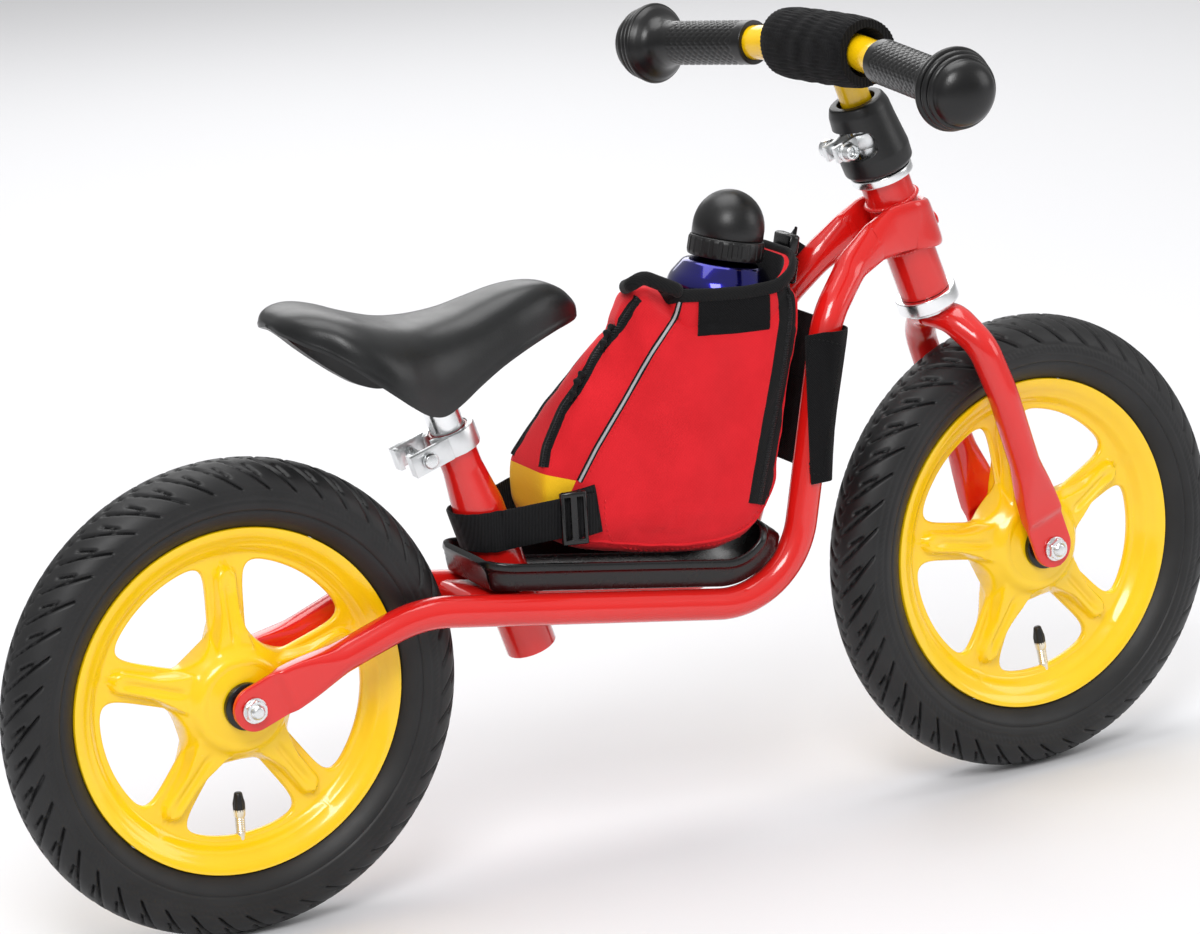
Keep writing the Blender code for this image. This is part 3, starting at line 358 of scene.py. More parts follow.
def wovenCloth(name, light, dark, thread, rough=0.82, depth=0.12, sheen=0.25):
    # plain weave: two sets of threads at right angles, thread is their spacing in mm
    made, tree, shader = newMaterial(name, {"Roughness": rough, "Sheen Weight": sheen * 0.4,
                                            "Sheen Roughness": 0.4, "IOR": 1.45,
                                            "Specular IOR Level": 0.25})
    coords = node(tree, "ShaderNodeTexCoord").outputs["Object"]
    lean = node(tree, "ShaderNodeMapping", {"Rotation": (0.35, 0.2, 0.3)}, {"Vector": coords})
    waves = []
    for direction in ("X", "Z"):
        waves.append(node(tree, "ShaderNodeTexWave",
                          {"Scale": 1 / (thread * mm * 6.3) * 2, "bands_direction": direction,
                           "Distortion": 0.6, "Detail": 1.0, "Detail Scale": 2.0},
                          {"Vector": lean.outputs[0]}).outputs["Fac"])
    cross = node(tree, "ShaderNodeMath", {"operation": "MULTIPLY"})
    tree.links.new(waves[0], cross.inputs[0])
    tree.links.new(waves[1], cross.inputs[1])
    broad = spots(tree, coords, 26, 3)
    mixed = node(tree, "ShaderNodeMath", {"operation": "MULTIPLY_ADD", 1: 0.45})
    tree.links.new(cross.outputs[0], mixed.inputs[0])
    tree.links.new(broad, mixed.inputs[2])
    tree.links.new(tones(tree, mixed.outputs[0], [(0.32, dark), (0.95, light)]),
                   shader.inputs["Base Color"])
    soft = bump(tree, shader, broad, 0.5)
    bump(tree, shader, cross.outputs[0], depth, soft)
    return made


def ribbedCloth(name, light, dark, rib, direction, rough=0.85, depth=0.35):
    # ribbed webbing or knit: raised ribs across one direction with fine threads over them
    made, tree, shader = newMaterial(name, {"Roughness": rough, "Sheen Weight": 0.05,
                                            "Sheen Roughness": 0.4, "IOR": 1.45,
                                            "Specular IOR Level": 0.25})
    coords = node(tree, "ShaderNodeTexCoord").outputs["Object"]
    ribs = node(tree, "ShaderNodeTexWave",
                {"Scale": 1 / (rib * mm * 6.3) * 2, "bands_direction": direction,
                 "Distortion": 0.4, "Detail": 2.0, "Detail Scale": 3.0}, {"Vector": coords})
    fine = spots(tree, coords, 0.9, 2)
    mixed = node(tree, "ShaderNodeMath", {"operation": "MULTIPLY_ADD", 1: 0.6})
    tree.links.new(ribs.outputs["Fac"], mixed.inputs[0])
    tree.links.new(fine, mixed.inputs[2])
    tree.links.new(tones(tree, mixed.outputs[0], [(0.3, dark), (1.0, light)]),
                   shader.inputs["Base Color"])
    bump(tree, shader, mixed.outputs[0], depth)
    return made


paintRed = glossPaint("powderCoatRed", "E01D18", "D81713", 0.2, 0.6)
paintYellow = glossPaint("powderCoatYellow", "FBCB08", "F5C200", 0.22, 0.7)
nylonYellow = mouldedPlastic("mouldedNylonYellow", "FFD20A", "FDCE04", 0.24, 3.0, 0.006, 0.5)
tyreRubber = mouldedPlastic("vulcanisedTyreRubber", "1A1A1B", "111112", 0.5, 1.4, 0.05)
buttonRubber = mouldedPlastic("mouldedGripRubber", "0E0E0F", "080809", 0.3, 1.0, 0.05)
satinBlack = mouldedPlastic("mouldedBlackPlastic", "151516", "0D0D0E", 0.36, 0.8, 0.05)
pianoBlack = mouldedPlastic("polishedBlackPlastic", "08080A", "050506", 0.26, 4.0, 0.01, 0.1)
foamSkin = mouldedPlastic("integralFoamSkin", "161718", "0E0F10", 0.34, 0.9, 0.08)
chromePlate = metalFinish("brightChromePlate", "F2F3F4", 0.2, 6.0, 0.01)
zincPlate = metalFinish("zincPlatedSteel", "E6E8E9", 0.27, 1.6, 0.02)
castAlloy = metalFinish("tumbledCastAlloy", "E8EAEB", 0.36, 1.2, 0.05)
nickelBrass = metalFinish("nickelPlatedBrass", "EFE8D6", 0.32, 1.5, 0.02)
anodisedBlue = metalFinish("anodisedBlueAluminium", "120E70", 0.16, 8.0, 0.008)
anodisedBlue.node_tree.nodes["Principled BSDF"].inputs["Coat Weight"].default_value = 0.8
bagNylon = wovenCloth("wovenNylonRed", "E0222C", "CB1922", 0.9)


def yellowCorner(material):
    # the lower rear corner is yellow cloth: below one plane and behind another, both taken
    # in the object's own coordinates, which are metres from the foot of the bike
    tree = material.node_tree
    shader = tree.nodes["Principled BSDF"]
    colour = shader.inputs["Base Color"].links[0].from_socket
    coords = node(tree, "ShaderNodeTexCoord").outputs["Object"]
    masks = []
    for normal, point in (((0.30, 0.0, 1.0), (222.0, 0, 105.0)),
                          ((1.0, 0.0, -0.45), (225.5, 0, 104.0))):
        away = node(tree, "ShaderNodeVectorMath", {"operation": "DOT_PRODUCT", 1: normal},
                    {0: coords}).outputs["Value"]
        level = float(np.dot(normal, place(np.array(point, float))))
        masks.append(node(tree, "ShaderNodeMath", {"operation": "LESS_THAN", 1: level},
                          {0: away}).outputs[0])
    both = node(tree, "ShaderNodeMath", {"operation": "MULTIPLY"}, {0: masks[0], 1: masks[1]})
    mix = node(tree, "ShaderNodeMix", {"data_type": "RGBA"}, {"Factor": both.outputs[0]})
    tree.links.new(colour, mix.inputs[6])
    mix.inputs[7].default_value = linear("F2BE1E")
    tree.links.new(mix.outputs[2], shader.inputs["Base Color"])


bodyNylon = wovenCloth("wovenNylonRedAndYellow", "E0222C", "CB1922", 0.9)
yellowCorner(bodyNylon)
liningCloth = wovenCloth("wovenLiningBlack", "1A1A1C", "0F0F10", 1.1)
blackTape = ribbedCloth("grosgrainBindingBlack", "131314", "070708", 1.0, "DIAGONAL", 0.8, 0.2)
webbing = ribbedCloth("polyesterWebbingBlack", "151517", "050506", 1.9, "X", 0.72, 0.4)
knitBlack = ribbedCloth("ribKnitBlack", "101012", "050506", 2.4, "X", 0.92, 0.6)
loopPile = ribbedCloth("loopPileBlack", "0E0E10", "040405", 0.8, "DIAGONAL", 0.95, 0.5)
zipTeeth = ribbedCloth("mouldedZipCoilBlack", "1C1C1E", "050506", 1.5, "Z", 0.45, 0.8)
greyPiping = wovenCloth("reflectivePipingGrey", "B4B6B8", "9C9EA1", 0.6, 0.5, 0.05, 0.1)
print("materials made")


# camera, floor and light, first so that every look is taken in place

cameraSet = {"lens": 166.95, "yaw": 0.4719, "pitch": -0.2524, "roll": -0.0555,
             "from": (-1262.7, -2981.8, 963.8)}


def setCamera():
    yaw, pitch, roll = cameraSet["yaw"], cameraSet["pitch"], cameraSet["roll"]
    ahead = np.array((math.sin(yaw) * math.cos(pitch), math.cos(yaw) * math.cos(pitch),
                      math.sin(pitch)))
    right = np.array((math.cos(yaw), -math.sin(yaw), 0.0))
    up = np.cross(right, ahead)
    across = math.cos(roll) * right + math.sin(roll) * up
    above = -math.sin(roll) * right + math.cos(roll) * up
    camera = bpy.data.objects.new("camera", bpy.data.cameras.new("camera"))
    bpy.context.scene.collection.objects.link(camera)
    turn = np.eye(4)
    turn[:3, 0], turn[:3, 1], turn[:3, 2], turn[:3, 3] = across, above, -ahead, place(
        cameraSet["from"])
    camera.matrix_world = Matrix(turn.tolist())
    camera.data.lens = cameraSet["lens"]
    camera.data.sensor_width = 36.0
    camera.data.clip_end = 50.0
    bpy.context.scene.camera = camera


# each light: name, place in metres, size in metres, power in watts
lightSet = (("keyLight", (-1.5, -2.3, 2.7), 1.3, 68.0), ("fillLight", (2.6, -1.6, 1.2), 1.4, 14.0),
            ("topLight", (0.2, 0.5, 3.0), 2.2, 50.0), ("backLight", (0.9, 2.6, 1.6), 1.6, 18.0))
roomSet = {"low": 0.3, "high": 0.66, "camera": 1.0, "floor": "DEDEE0", "reach": 12.0,
           "drop": 0.0005, "aim": (0, 0, 0.25)}


def setStage():
    for name, spot, size, power in lightSet:
        lamp = bpy.data.lights.new(name, "AREA")
        lamp.size = size
        lamp.energy = power
        light = bpy.data.objects.new(name, lamp)
        bpy.context.scene.collection.objects.link(light)
        light.location = spot
        toBike = Vector(roomSet["aim"]) - Vector(spot)
        light.rotation_euler = toBike.to_track_quat("-Z", "Y").to_euler()
    # a matte board, so the floor shows soft shadows and no reflections
    board = newMaterial("matteWhiteBoard", {"Roughness": 0.9,
                                            "Base Color": linear(roomSet["floor"])})[0]
    far = roomSet["reach"]
    floor = makePiece("floor", ((-far, -far, 0), (far, -far, 0), (far, far, 0), (-far, far, 0)),
                      [[0, 1, 2, 3]], board)
    floor.location.z = -roomSet["drop"]
    # the room is white where the camera sees it, and otherwise dim below and bright above
    world = bpy.data.worlds.new("softRoom")
    world.use_nodes = True
    tree = world.node_tree
    back = tree.nodes["Background"]
    facing = node(tree, "ShaderNodeTexCoord").outputs["Generated"]
    height = node(tree, "ShaderNodeSeparateXYZ", {}, {"Vector": facing}).outputs["Z"]
    glow = node(tree, "ShaderNodeMapRange", {"interpolation_type": "SMOOTHSTEP", "From Min": -0.2,
                                             "From Max": 0.9, "To Min": roomSet["low"],
                                             "To Max": roomSet["high"]}, {"Value": height})
    seen = node(tree, "ShaderNodeLightPath").outputs["Is Camera Ray"]
    level = node(tree, "ShaderNodeMix", {"B": roomSet["camera"]},
                 {"Factor": seen, "A": glow.outputs["Result"]})
    tree.links.new(level.outputs["Result"], back.inputs["Strength"])
    back.inputs["Color"].default_value = (1.0, 1.0, 1.0, 1.0)
    bpy.context.scene.world = world
    bpy.context.scene.view_settings.view_transform = "Standard"


setCamera()
setStage()
print("camera and light set")


# frame tubes, head loop and fork

plate = {"thick": 2.0, "wide": 14.2, "run": 31.0, "blend": 48.0, "tube": 10.0}


def pressedEnd(run):
    # half thickness, half width and power of a tube pressed flat at its end, by the distance
    # from that end: flat and round-ended, a short crease, then slowly round again
    crease = smoothStep(run, plate["run"], plate["run"] + 7)
    ease = smoothStep(run, plate["run"] + 4, plate["run"] + plate["blend"])
    thick = plate["thick"] + 3.2 * crease + (plate["tube"] - plate["thick"] - 3.2) * ease
    wide = plate["wide"] + (plate["tube"] - plate["wide"]) * ease
    near = np.clip(1 - run / plate["wide"], 0, 1)
    wide = wide * np.sqrt(np.clip(1 - near ** 2, 0.002, 1))
    power = 8.0 - 6.0 * smoothStep(run, plate["run"] - 2, plate["run"] + plate["blend"])
    return thick, wide, power


loopStart = np.array((452.0, 18.5, 217.5))
loopAhead = np.array((0.841, -0.089, 0.533)) / np.linalg.norm((0.841, -0.089, 0.533))


def frameTube(name, cadNode, sign):
    flip = np.array((1, sign, 1))
    plateY = 32.5
    corners = [np.array(c) * flip for c in ((-11.8, plateY, -4.3), (44.0, plateY, 16.0),
                                            (112.5, 36.0, 41.0), (371.5, 33.5, 0.4),
                                            (407.5, 31.5, 178.0), loopStart - loopAhead * 22,
                                            loopStart + loopAhead * 7)]
    path = resample(filletPath(corners, (60.0, 80.0, 55.5, 45.0, 30.0), 2.0), 2.2)
    run = runLength(path)
    dense = np.linspace(0, 14, 24)
    path = np.concatenate([np.stack([np.interp(dense, run, path[:, k]) for k in range(3)], 1),
                           path[run > 15]])
    run = runLength(path)
    thick, wide, power = pressedEnd(run)
    left = run[-1] - run
    flat = np.clip(1 - (left - 7) / 30.0, 0, 1.12)
    drawn = 1 - 0.10 * np.clip(1 - left / 7, 0, 1) ** 2
    rings = sweep(path, (thick - 3.0 * flat) * drawn, (wide + 3.0 * flat) * drawn, power, 48)
    return makePiece(name, place(rings), quads(len(rings), 48, False, True), paintRed, 30.0,
                     "frame", "frame_red", (cadNode,))


def headLoop():
    thick, tall, rise = 3.0, 15.5, 56.0
    middle = 16.3 + thick
    first = loopStart + loopAhead * 0.36
    blend = np.linspace(0, 1, 14)[:-1]
    centres = place(first + (np.array((470.0, 18.7, 224.6)) - first) * blend[:, None])
    centres = centres + (side * mm * (middle - 18.7)) * blend[:, None]
    angle = np.linspace(math.pi / 2, -math.pi / 2, 60)
    around = headPoints(rise - 9.0 * np.cos(angle), middle * np.cos(angle), middle * np.sin(angle))
    mirror = np.array((1, -1, 1))
    path = np.concatenate([centres, around, centres[::-1] * mirror])
    ease = np.concatenate([blend, np.ones(60), blend[::-1]])
    wide = 7.0 + (thick - 7.0) * ease
    high = 13.0 + (tall - 13.0) * ease
    power = 2.3 + 1.6 * ease
    ahead = np.gradient(path, axis=0)
    outward = np.cross(ahead, headUp)
    rings = sweep(path, wide * mm, high * mm, power, 40, outward)
    makePiece("headLoop", rings, quads(len(rings), 40, False, True), paintRed, 30.0,
              "frame", "frame_red", ("head_loop",))


def weldBead(name, centre, axis, radius, size, body):
    # a ring of fillet weld: its section swells and shrinks once every 2.4 mm round the joint
    ripples = round(2 * math.pi * radius / 2.4)

    def relief(turn, height, rad):
        return 0.22 * size * np.cos(turn * ripples)
    turn = np.linspace(0, 2 * math.pi, 12, endpoint=False)
    profile = np.stack([radius + size * np.cos(turn), -size * np.sin(turn) * 0.9], 1)
    points = revolve(profile, centre, axis, ripples * 6, relief)
    makePiece(name, points, quads(12, ripples * 6, True, True), paintRed, 60.0, body, "frame_red")


forkPath = {"corners": ((1.5, 0.15, -12.0), (3.5, 17.0, -15.0), (6.0, 33.5, -34.0),
                        (6.5, 36.5, -70.0)), "radii": (18.0, 26.0, 80.0, 60.0)}
axleDrop = float((headBase - frontAxle) @ headUp) / mm


def forkLeg(name, cadNode, sign):
    offset = 5.0
    corners = list(forkPath["corners"]) + [(6.0, 32.5, -(axleDrop - 42)),
                                           (offset, 32.5, -(axleDrop + 12.5))]
    path = resample(filletPath(corners, forkPath["radii"], 1.5), 1.7)
    run = runLength(path)
    fine = np.linspace(run[-1] - 14, run[-1], 24)
    path = np.concatenate([path[run < run[-1] - 15],
                           np.stack([np.interp(fine, run, path[:, k]) for k in range(3)], 1)])
    run = runLength(path)
    thick, wide, power = pressedEnd(run[-1] - run)
    crown = np.clip(1 - run / 34.0, 0, 1)
    thick = thick + (6.2 - thick) * crown
    wide = wide + (12.5 - wide) * crown
    rings = sweep(path, wide, thick, power, 48, np.array((1.0, 0, 0)))
    points = steered(headPoints(rings[..., 2], rings[..., 0], rings[..., 1] * sign))
    makePiece(name, points, quads(len(rings), 48, False, True), paintRed, 30.0, "steering",
              "frame_red", (cadNode,))


def frameMetal():
    for word, sign in (("Left", 1), ("Right", -1)):
        frameTube("frameTube" + word, "frame_tube_" + word.lower(), sign)
        forkLeg("forkLeg" + word, "fork_leg_" + word.lower(), sign)
    headLoop()
    turnedPiece("headTube", ((16, 87.2), (16, 5), (14, 5), (14, 87.2)), (0.6, 0.6, 0.4, 0.4),
                headBase, headUp, paintRed, "frame", "frame_red", ("head_tube",))
    weldBead("headWeldTop", headPoints(71.5), headUp, 16.6, 1.5, "frame")
    weldBead("headWeldLow", headPoints(39.5), headUp, 16.6, 1.5, "frame")
    steel = (("headsetLowerCup", ((20, 4.7), (20, -4.7), (17.2, -4.7), (17.2, 1.6), (12.6, 1.6),
                                  (12.6, 13), (13.7, 13), (13.7, 4.7)), "headset_lower_cup"),
             ("headsetUpperCup", ((20, 93.0), (20, 87.5), (13.7, 87.5), (13.7, 79), (12.6, 79),
                                  (12.6, 89), (17.2, 89), (17.2, 93.0)), "headset_upper_cup"))
    for name, corners, cadNode in steel:
        turnedPiece(name, corners, (0.9, 0.9) + (0.2,) * 6, headBase, headUp, chromePlate,
                    "frame", "steel", (cadNode,), 72)
    turnedPiece("seatTube", ((12.7, 155), (12.7, 128), (16.0, 101), (16.0, 0), (14.2, 0),
                             (14.2, 98), (11.3, 116), (11.3, 155)),
                (0.4, 22, 22, 0.6, 0.4, 4, 4, 0.3), seatBase, seatUp, paintRed, "frame",
                "frame_red", ("seat_tube",))


# wheels and tyres

wheelShape = {"spokes": 5, "window": 62.0, "rim": 97.0, "hub": 24.0, "webHalf": 2.6,
              "rimHalf": 8.5, "hubHalf": 19.5, "armHalf": 6.6, "spokeGap": 12.2,
              "windowOut": 86.5, "windowIn": 37.0, "rounding": 5.0}
wheelTurn = {"front": 26.0, "rear": 18.0}


def wheelHeight(radius, angle, edge):
    # half thickness of the moulded wheel: a thin web, five raised arms with a groove down
    # the middle, a hub that rises like a cone, and a rim; edge is the way from the window
    w = wheelShape
    apart = math.pi / w["spokes"] - np.abs(angle)
    along, off = radius * np.cos(apart), radius * np.sin(apart)
    off = np.where(along > 76, np.hypot(off, along - 76), off)
    half = w["armHalf"] + 7.5 * (1 - smoothStep(along, 22, 60))
    arm = 1 - smoothStep(off, half - 1.6, half + 1.8)
    height = 5.6 + 5.4 * (1 - smoothStep(along, 34, 80))
    groove = 1.9 * np.exp(-(off / 2.3) ** 2) * smoothStep(along, 34, 42) * (
        1 - smoothStep(along, 66, 80))
    body = w["webHalf"] + arm * (height - groove)
    cone = w["hubHalf"] * (1 - smoothStep(radius, w["hub"], 50))
    body = np.logaddexp(body * 0.7, cone * 0.7) / 0.7
    body = body + (w["rimHalf"] - body) * smoothStep(radius, 89.5, w["rim"])
    body = w["hubHalf"] + (body - w["hubHalf"]) * smoothStep(radius, w["hub"], w["hub"] + 9)
    fillet = 2.2
    near = np.clip(fillet - edge, 0, fillet)
    return body - fillet + np.sqrt(fillet ** 2 - near ** 2)


def wheel(label, centre, forwards, upwards, axis):
    # five equal cells round the hub, each a grid from the window's edge out to the rim, the
    # spokes' middle lines and the hub; the rim and hub rings share the cells' edge points
    w = wheelShape
    step = math.pi / w["spokes"]
    c = w["window"]
    corner = [math.atan2(r * math.sin(step), r * math.cos(step) - c) for r in (w["rim"], w["hub"])]
    half = np.concatenate([np.linspace(0, corner[0], 22)[:-1],
                           np.linspace(corner[0], corner[1], 40)[:-1],
                           np.linspace(corner[1], math.pi, 7)])
    ray = np.concatenate([half, -half[1:-1][::-1]])
    size = np.abs(ray)
    cos, sin = np.cos(ray), np.abs(np.sin(ray))

    def toCircle(radius, outward):
        root = np.sqrt(np.clip((c * cos) ** 2 - c ** 2 + radius ** 2, 0, None))
        return -c * cos + root if outward else -c * cos - root

    def toLine(gap):
        slope = sin * math.cos(step) - cos * math.sin(step)
        return np.where(slope > 1e-6, (c * math.sin(step) - gap) / np.maximum(slope, 1e-6), 1e6)
    edge = np.where(size <= corner[0] + 1e-9, toCircle(w["rim"], True),
                    np.where(size < corner[1] - 1e-9, toLine(0.0), toCircle(w["hub"], False)))
    inner = np.where((cos < 0) & ((c * cos) ** 2 - c ** 2 + w["windowIn"] ** 2 > 0),
                     toCircle(w["windowIn"], False), 1e6)
    limits = np.stack([toCircle(w["windowOut"], True), toLine(w["spokeGap"]), inner])
    window = (limits ** -w["rounding"]).sum(0) ** (-1 / w["rounding"])
    v = np.linspace(0, 1, 22)[:, None] ** 1.25
    reach = window + (edge - window) * v
    x, y = c + reach * np.cos(ray), reach * np.sin(ray)
    radius, angle = np.hypot(x, y), np.arctan2(y, x)
    height = wheelHeight(radius, angle, (edge - window) * v)
    radius = np.concatenate([radius[::-1], radius])
    angle = np.concatenate([angle[::-1], angle])
    height = np.concatenate([-height[::-1], height])
    turns = math.radians(wheelTurn[label]) + step + np.arange(w["spokes"]) * 2 * step
    faces = quads(44, len(ray), False, True)
    points, allFaces, count = [], [], 0

    def lay(r, a, h):
        return centre + mm * ((r * np.cos(a))[..., None] * forwards
                              + (r * np.sin(a))[..., None] * upwards + h[..., None] * axis)
    for turn in turns:
        points.append(lay(radius, angle + turn, height).reshape(-1, 3))
        allFaces.append(faces + count)
        count += radius.size
    rimHalf = [(w["rim"], w["rimHalf"]), (100.2, 11.4), (103.2, 13.2), (106.0, 14.1),
               (107.6, 14.2), (108.0, 13.6), (108.0, 11.8), (104.0, 10.9), (99.3, 8.5)]
    hubHalf = [(11.25, 14.7), (11.25, 21.6), (12.0, 22.0), (16.0, 21.8), (18.5, 21.1),
               (21.2, 20.2), (w["hub"], w["hubHalf"])]
    for onRing, half, closed in ((size <= corner[0] + 1e-9, rimHalf, False),
                                 (size >= corner[1] - 1e-9, [(7.0, 14.7)] + hubHalf, True)):
        ringAngle = np.arctan2(edge * np.sin(ray), c + edge * np.cos(ray))[onRing]
        ringAngle = np.unique(np.round(ringAngle, 9))
        ringAngle = np.concatenate([(ringAngle[:-1] + turn) for turn in turns])
        line = np.array(half + [(r, -h) for r, h in half[::-1]])
        grid = lay(line[:, :1] + 0 * ringAngle, ringAngle + 0 * line[:, :1],
                   line[:, 1:] + 0 * ringAngle)
        points.append(grid.reshape(-1, 3))
        allFaces.append(quads(len(line), len(ringAngle), closed, True) + count)
        count += grid.shape[0] * grid.shape[1]
    return makePiece("wheel" + label.capitalize(), np.concatenate(points),
                     np.concatenate(allFaces), nylonYellow, 50.0, label + "_wheel",
                     "rim_yellow", ("wheel_" + label,))


tyreShape = {"major": 126.4, "section": 21.9, "wall": 3.2, "bead": 146.0, "blocks": 46,
             "around": 740, "groove": 2.1, "crownRows": 118, "innerRows": 14,
             "ringWidth": 0.7, "knurls": 5}


def treadDepth(across, turn):
    # across is the way round the section in millimetres from the crown, turn is the angle
    # round the wheel. Curved sipes run from the centre rib out over the shoulder, with
    # short ones between, and a knurled band and thin rings on the sidewall
    t = tyreShape
    out = np.abs(across)
    phase = turn * t["blocks"] / (2 * math.pi)
    bend = 0.52 * (out / 12.0) ** 1.25
    saw = (phase + bend + 0.25 * (across > 0)) % 1.0
    main = np.exp(-((saw - 0.5) / 0.07) ** 4) * smoothStep(out, 2.5, 4.5) * (
        1 - smoothStep(out, 27.0, 29.0))
    saw = (phase + bend * 0.7 + 0.5 + 0.25 * (across > 0)) % 1.0
    short = np.exp(-((saw - 0.5) / 0.055) ** 4) * smoothStep(out, 9.0, 11.0) * (
        1 - smoothStep(out, 18.0, 20.0))
    saw = (phase * 2 + out * 0.1) % 1.0
    centre = 0.6 * np.exp(-((saw - 0.5) / 0.12) ** 2) * (1 - smoothStep(out, 2.0, 3.0))
    rings = 0.7 * (np.exp(-((out - 29.6) / t["ringWidth"]) ** 2)
                   + np.exp(-((out - 34.6) / t["ringWidth"]) ** 2)
                   + np.exp(-((out - 41.5) / t["ringWidth"]) ** 2))
    band = 0.5 * (0.5 + 0.5 * np.cos(turn * t["blocks"] * t["knurls"] + out * 1.6)) * (
        smoothStep(out, 30.2, 30.8) * (1 - smoothStep(out, 33.6, 34.2)))
    return t["groove"] * np.clip(main + short + centre, 0, 1) + rings + band


def tyre(label, centre, forwards, upwards, axis):
    t = tyreShape
    limit = math.radians(t["bead"])
    crown = np.linspace(-limit, limit, t["crownRows"])
    turn = np.linspace(0, 2 * math.pi, t["around"], endpoint=False)[None, :]
    across = crown[:, None] * t["section"]
    section = t["section"] - treadDepth(across, turn)
    back = np.linspace(limit, -limit, t["innerRows"])
    inner = np.full((t["innerRows"], t["around"]), t["section"] - t["wall"])
    angle = np.concatenate([crown, back])[:, None]
    rho = np.concatenate([section, inner])
    radius, height = t["major"] + rho * np.cos(angle), rho * np.sin(angle)
    points = centre + mm * ((radius * np.cos(turn))[..., None] * forwards
                            + (radius * np.sin(turn))[..., None] * upwards
                            + height[..., None] * axis)
    makePiece("tyre" + label.capitalize(), points, quads(len(points), t["around"], True, True),
              tyreRubber, 60.0, label + "_wheel", "tyre_black", ("tyre_" + label,))


def valve(label, centre, forwards, upwards, axis):
    # the inner tube as a ring, its plated stem with a thread, a nut and a black cap
    body = label + "_wheel"
    first = wheelTurn[label]
    spot = math.radians(-90.0 + (first + 90.0 - 36.0) % 72.0)
    outward = math.cos(spot) * forwards + math.sin(spot) * upwards
    name = label.capitalize()
    ring = np.linspace(0, 2 * math.pi, 20, endpoint=False)
    profile = np.stack([126.4 + 17.2 * np.cos(ring), -17.2 * np.sin(ring)], 1)
    makePiece("innerTube" + name, revolve(profile, centre, axis, 96), quads(20, 96, True, True),
              tyreRubber, 60.0, body, "inner_rubber", ("inner_tube_" + label,))

    def thread(turn, height, radius):
        return np.where((height > 64) & (height < 86) & (radius > 2.4) & (radius < 3.1),
                        0.22 * np.cos(2 * math.pi * height / 1.4 + turn), 0)
    stem = [(0, 110), (3.3, 110), (3.3, 101.8), (5.3, 101.6), (5.3, 98.2), (2.9, 98.0)]
    stem += [(2.9, h) for h in np.arange(85.6, 76.0, -0.35)]
    stem += [(3.5, 75.6), (3.7, 73.6), (3.7, 71.2), (2.6, 70.8), (2.6, 64), (0, 64)]
    points = revolve(stem, centre, outward, 32, thread)
    makePiece("valveStem" + name, points, quads(len(points), 32, False, True), nickelBrass, 35.0,
              body, "steel")

    def grip(turn, height, radius):
        return np.where(radius > 2.8, 0.16 * np.cos(turn * 14), 0)
    cap = [(0, 72.6), (3.3, 72.6), (3.6, 72.2), (3.7, 68.0), (3.5, 66.4), (2.9, 63.8), (2.5, 61.0),
           (1.9, 60.4), (0, 60.3)]
    points = revolve(cap, centre, outward, 56, grip)
    makePiece("valveCap" + name, points, quads(len(points), 56, False, True), satinBlack, 45.0,
              body, "black_plastic", ("valve_cap_" + label,))


def hexNut(name, centre, axis, corners, radii, flats, body, slot, cadNode, material, count=72):
    # a turned nut whose middle stretch is six-sided: the radius there is the distance to
    # the flats divided by the cosine of the angle from the nearest flat
    low, high, across = flats

    def relief(turn, height, radius):
        near = (turn + math.pi / 6) % (math.pi / 3) - math.pi / 6
        shape = across / np.cos(near)
        return np.where((height > low) & (height < high), np.minimum(shape, radius) - radius, 0)
    turnedPiece(name, corners, radii, centre, axis, material, body, slot, (cadNode,), count,
                relief, 25.0, False, 0.7)


def axleParts(label, centre, axis, body):
    name = label.capitalize()
    for word, sign in (("Left", 1), ("Right", -1)):
        out = axis * sign
        suffix = "_%s_%s" % (label, word.lower())
        turnedPiece("hubCap" + name + word,
                    ((4.3, 30.2), (8.0, 30.2), (8.4, 27.6), (14.7, 26.0), (14.7, 22.3),
                     (4.3, 22.3)), (0.2, 0.6, 1.6, 1.0, 0.3, 0.2), centre, out, pianoBlack,
                    label + "_wheel", "black_plastic", ("hub_cap" + suffix,), 64)
        turnedPiece("bearing" + name + word,
                    ((11.0, 22.0), (11.0, 15.0), (4.3, 15.0), (4.3, 22.0)), (0.4,) * 4, centre,
                    out, chromePlate, label + "_wheel", "steel", ("bearing" + suffix,), 48)
        corners = ((0, 42.5), (3.2, 42.3), (4.7, 40.4), (4.8, 39.6), (6.4, 39.6), (7.3, 38.7),
                   (7.3, 36.3), (7.9, 36.3), (7.9, 34.8), (0, 34.8))
        hexNut("axleNut" + name + word, centre, out, corners,
               (1.5, 1.2, 0.3, 0.3, 0.3, 0.3, 0.2, 0.3), (36.4, 39.62, 6.35), body, "steel",
               "axle_nut" + suffix, zincPlate)


def wheels():
    flat = np.array((1.0, 0, 0)), np.array((0, 0, 1.0))
    turned = [steered(headBase + v) - headBase for v in flat]
    for label, centre, (forwards, upwards), axis, holder in (
            ("rear", rearAxle, flat, side, "frame"),
            ("front", frontAxle, turned, frontSide, "steering")):
        wheel(label, centre, forwards, upwards, axis)
        tyre(label, centre, forwards, upwards, axis)
        valve(label, centre, forwards, upwards, axis)
        axleParts(label, centre, axis, holder)


# pieces that keep the frame's own shape, with their edges eased

def carve(piece, points, count):
    # takes a closed shape, given as rings of count points, out of a piece
    cutter = makePiece("cutter", points, quads(len(points), count, False, True), satinBlack)
    taken = piece.modifiers.new("carved", "BOOLEAN")
    taken.operation = "DIFFERENCE"
    taken.solver = "EXACT"
    taken.object = cutter
    bake(piece)
    bpy.data.objects.remove(cutter, do_unlink=True)
    piece.data.set_sharp_from_angle(angle=math.radians(35))


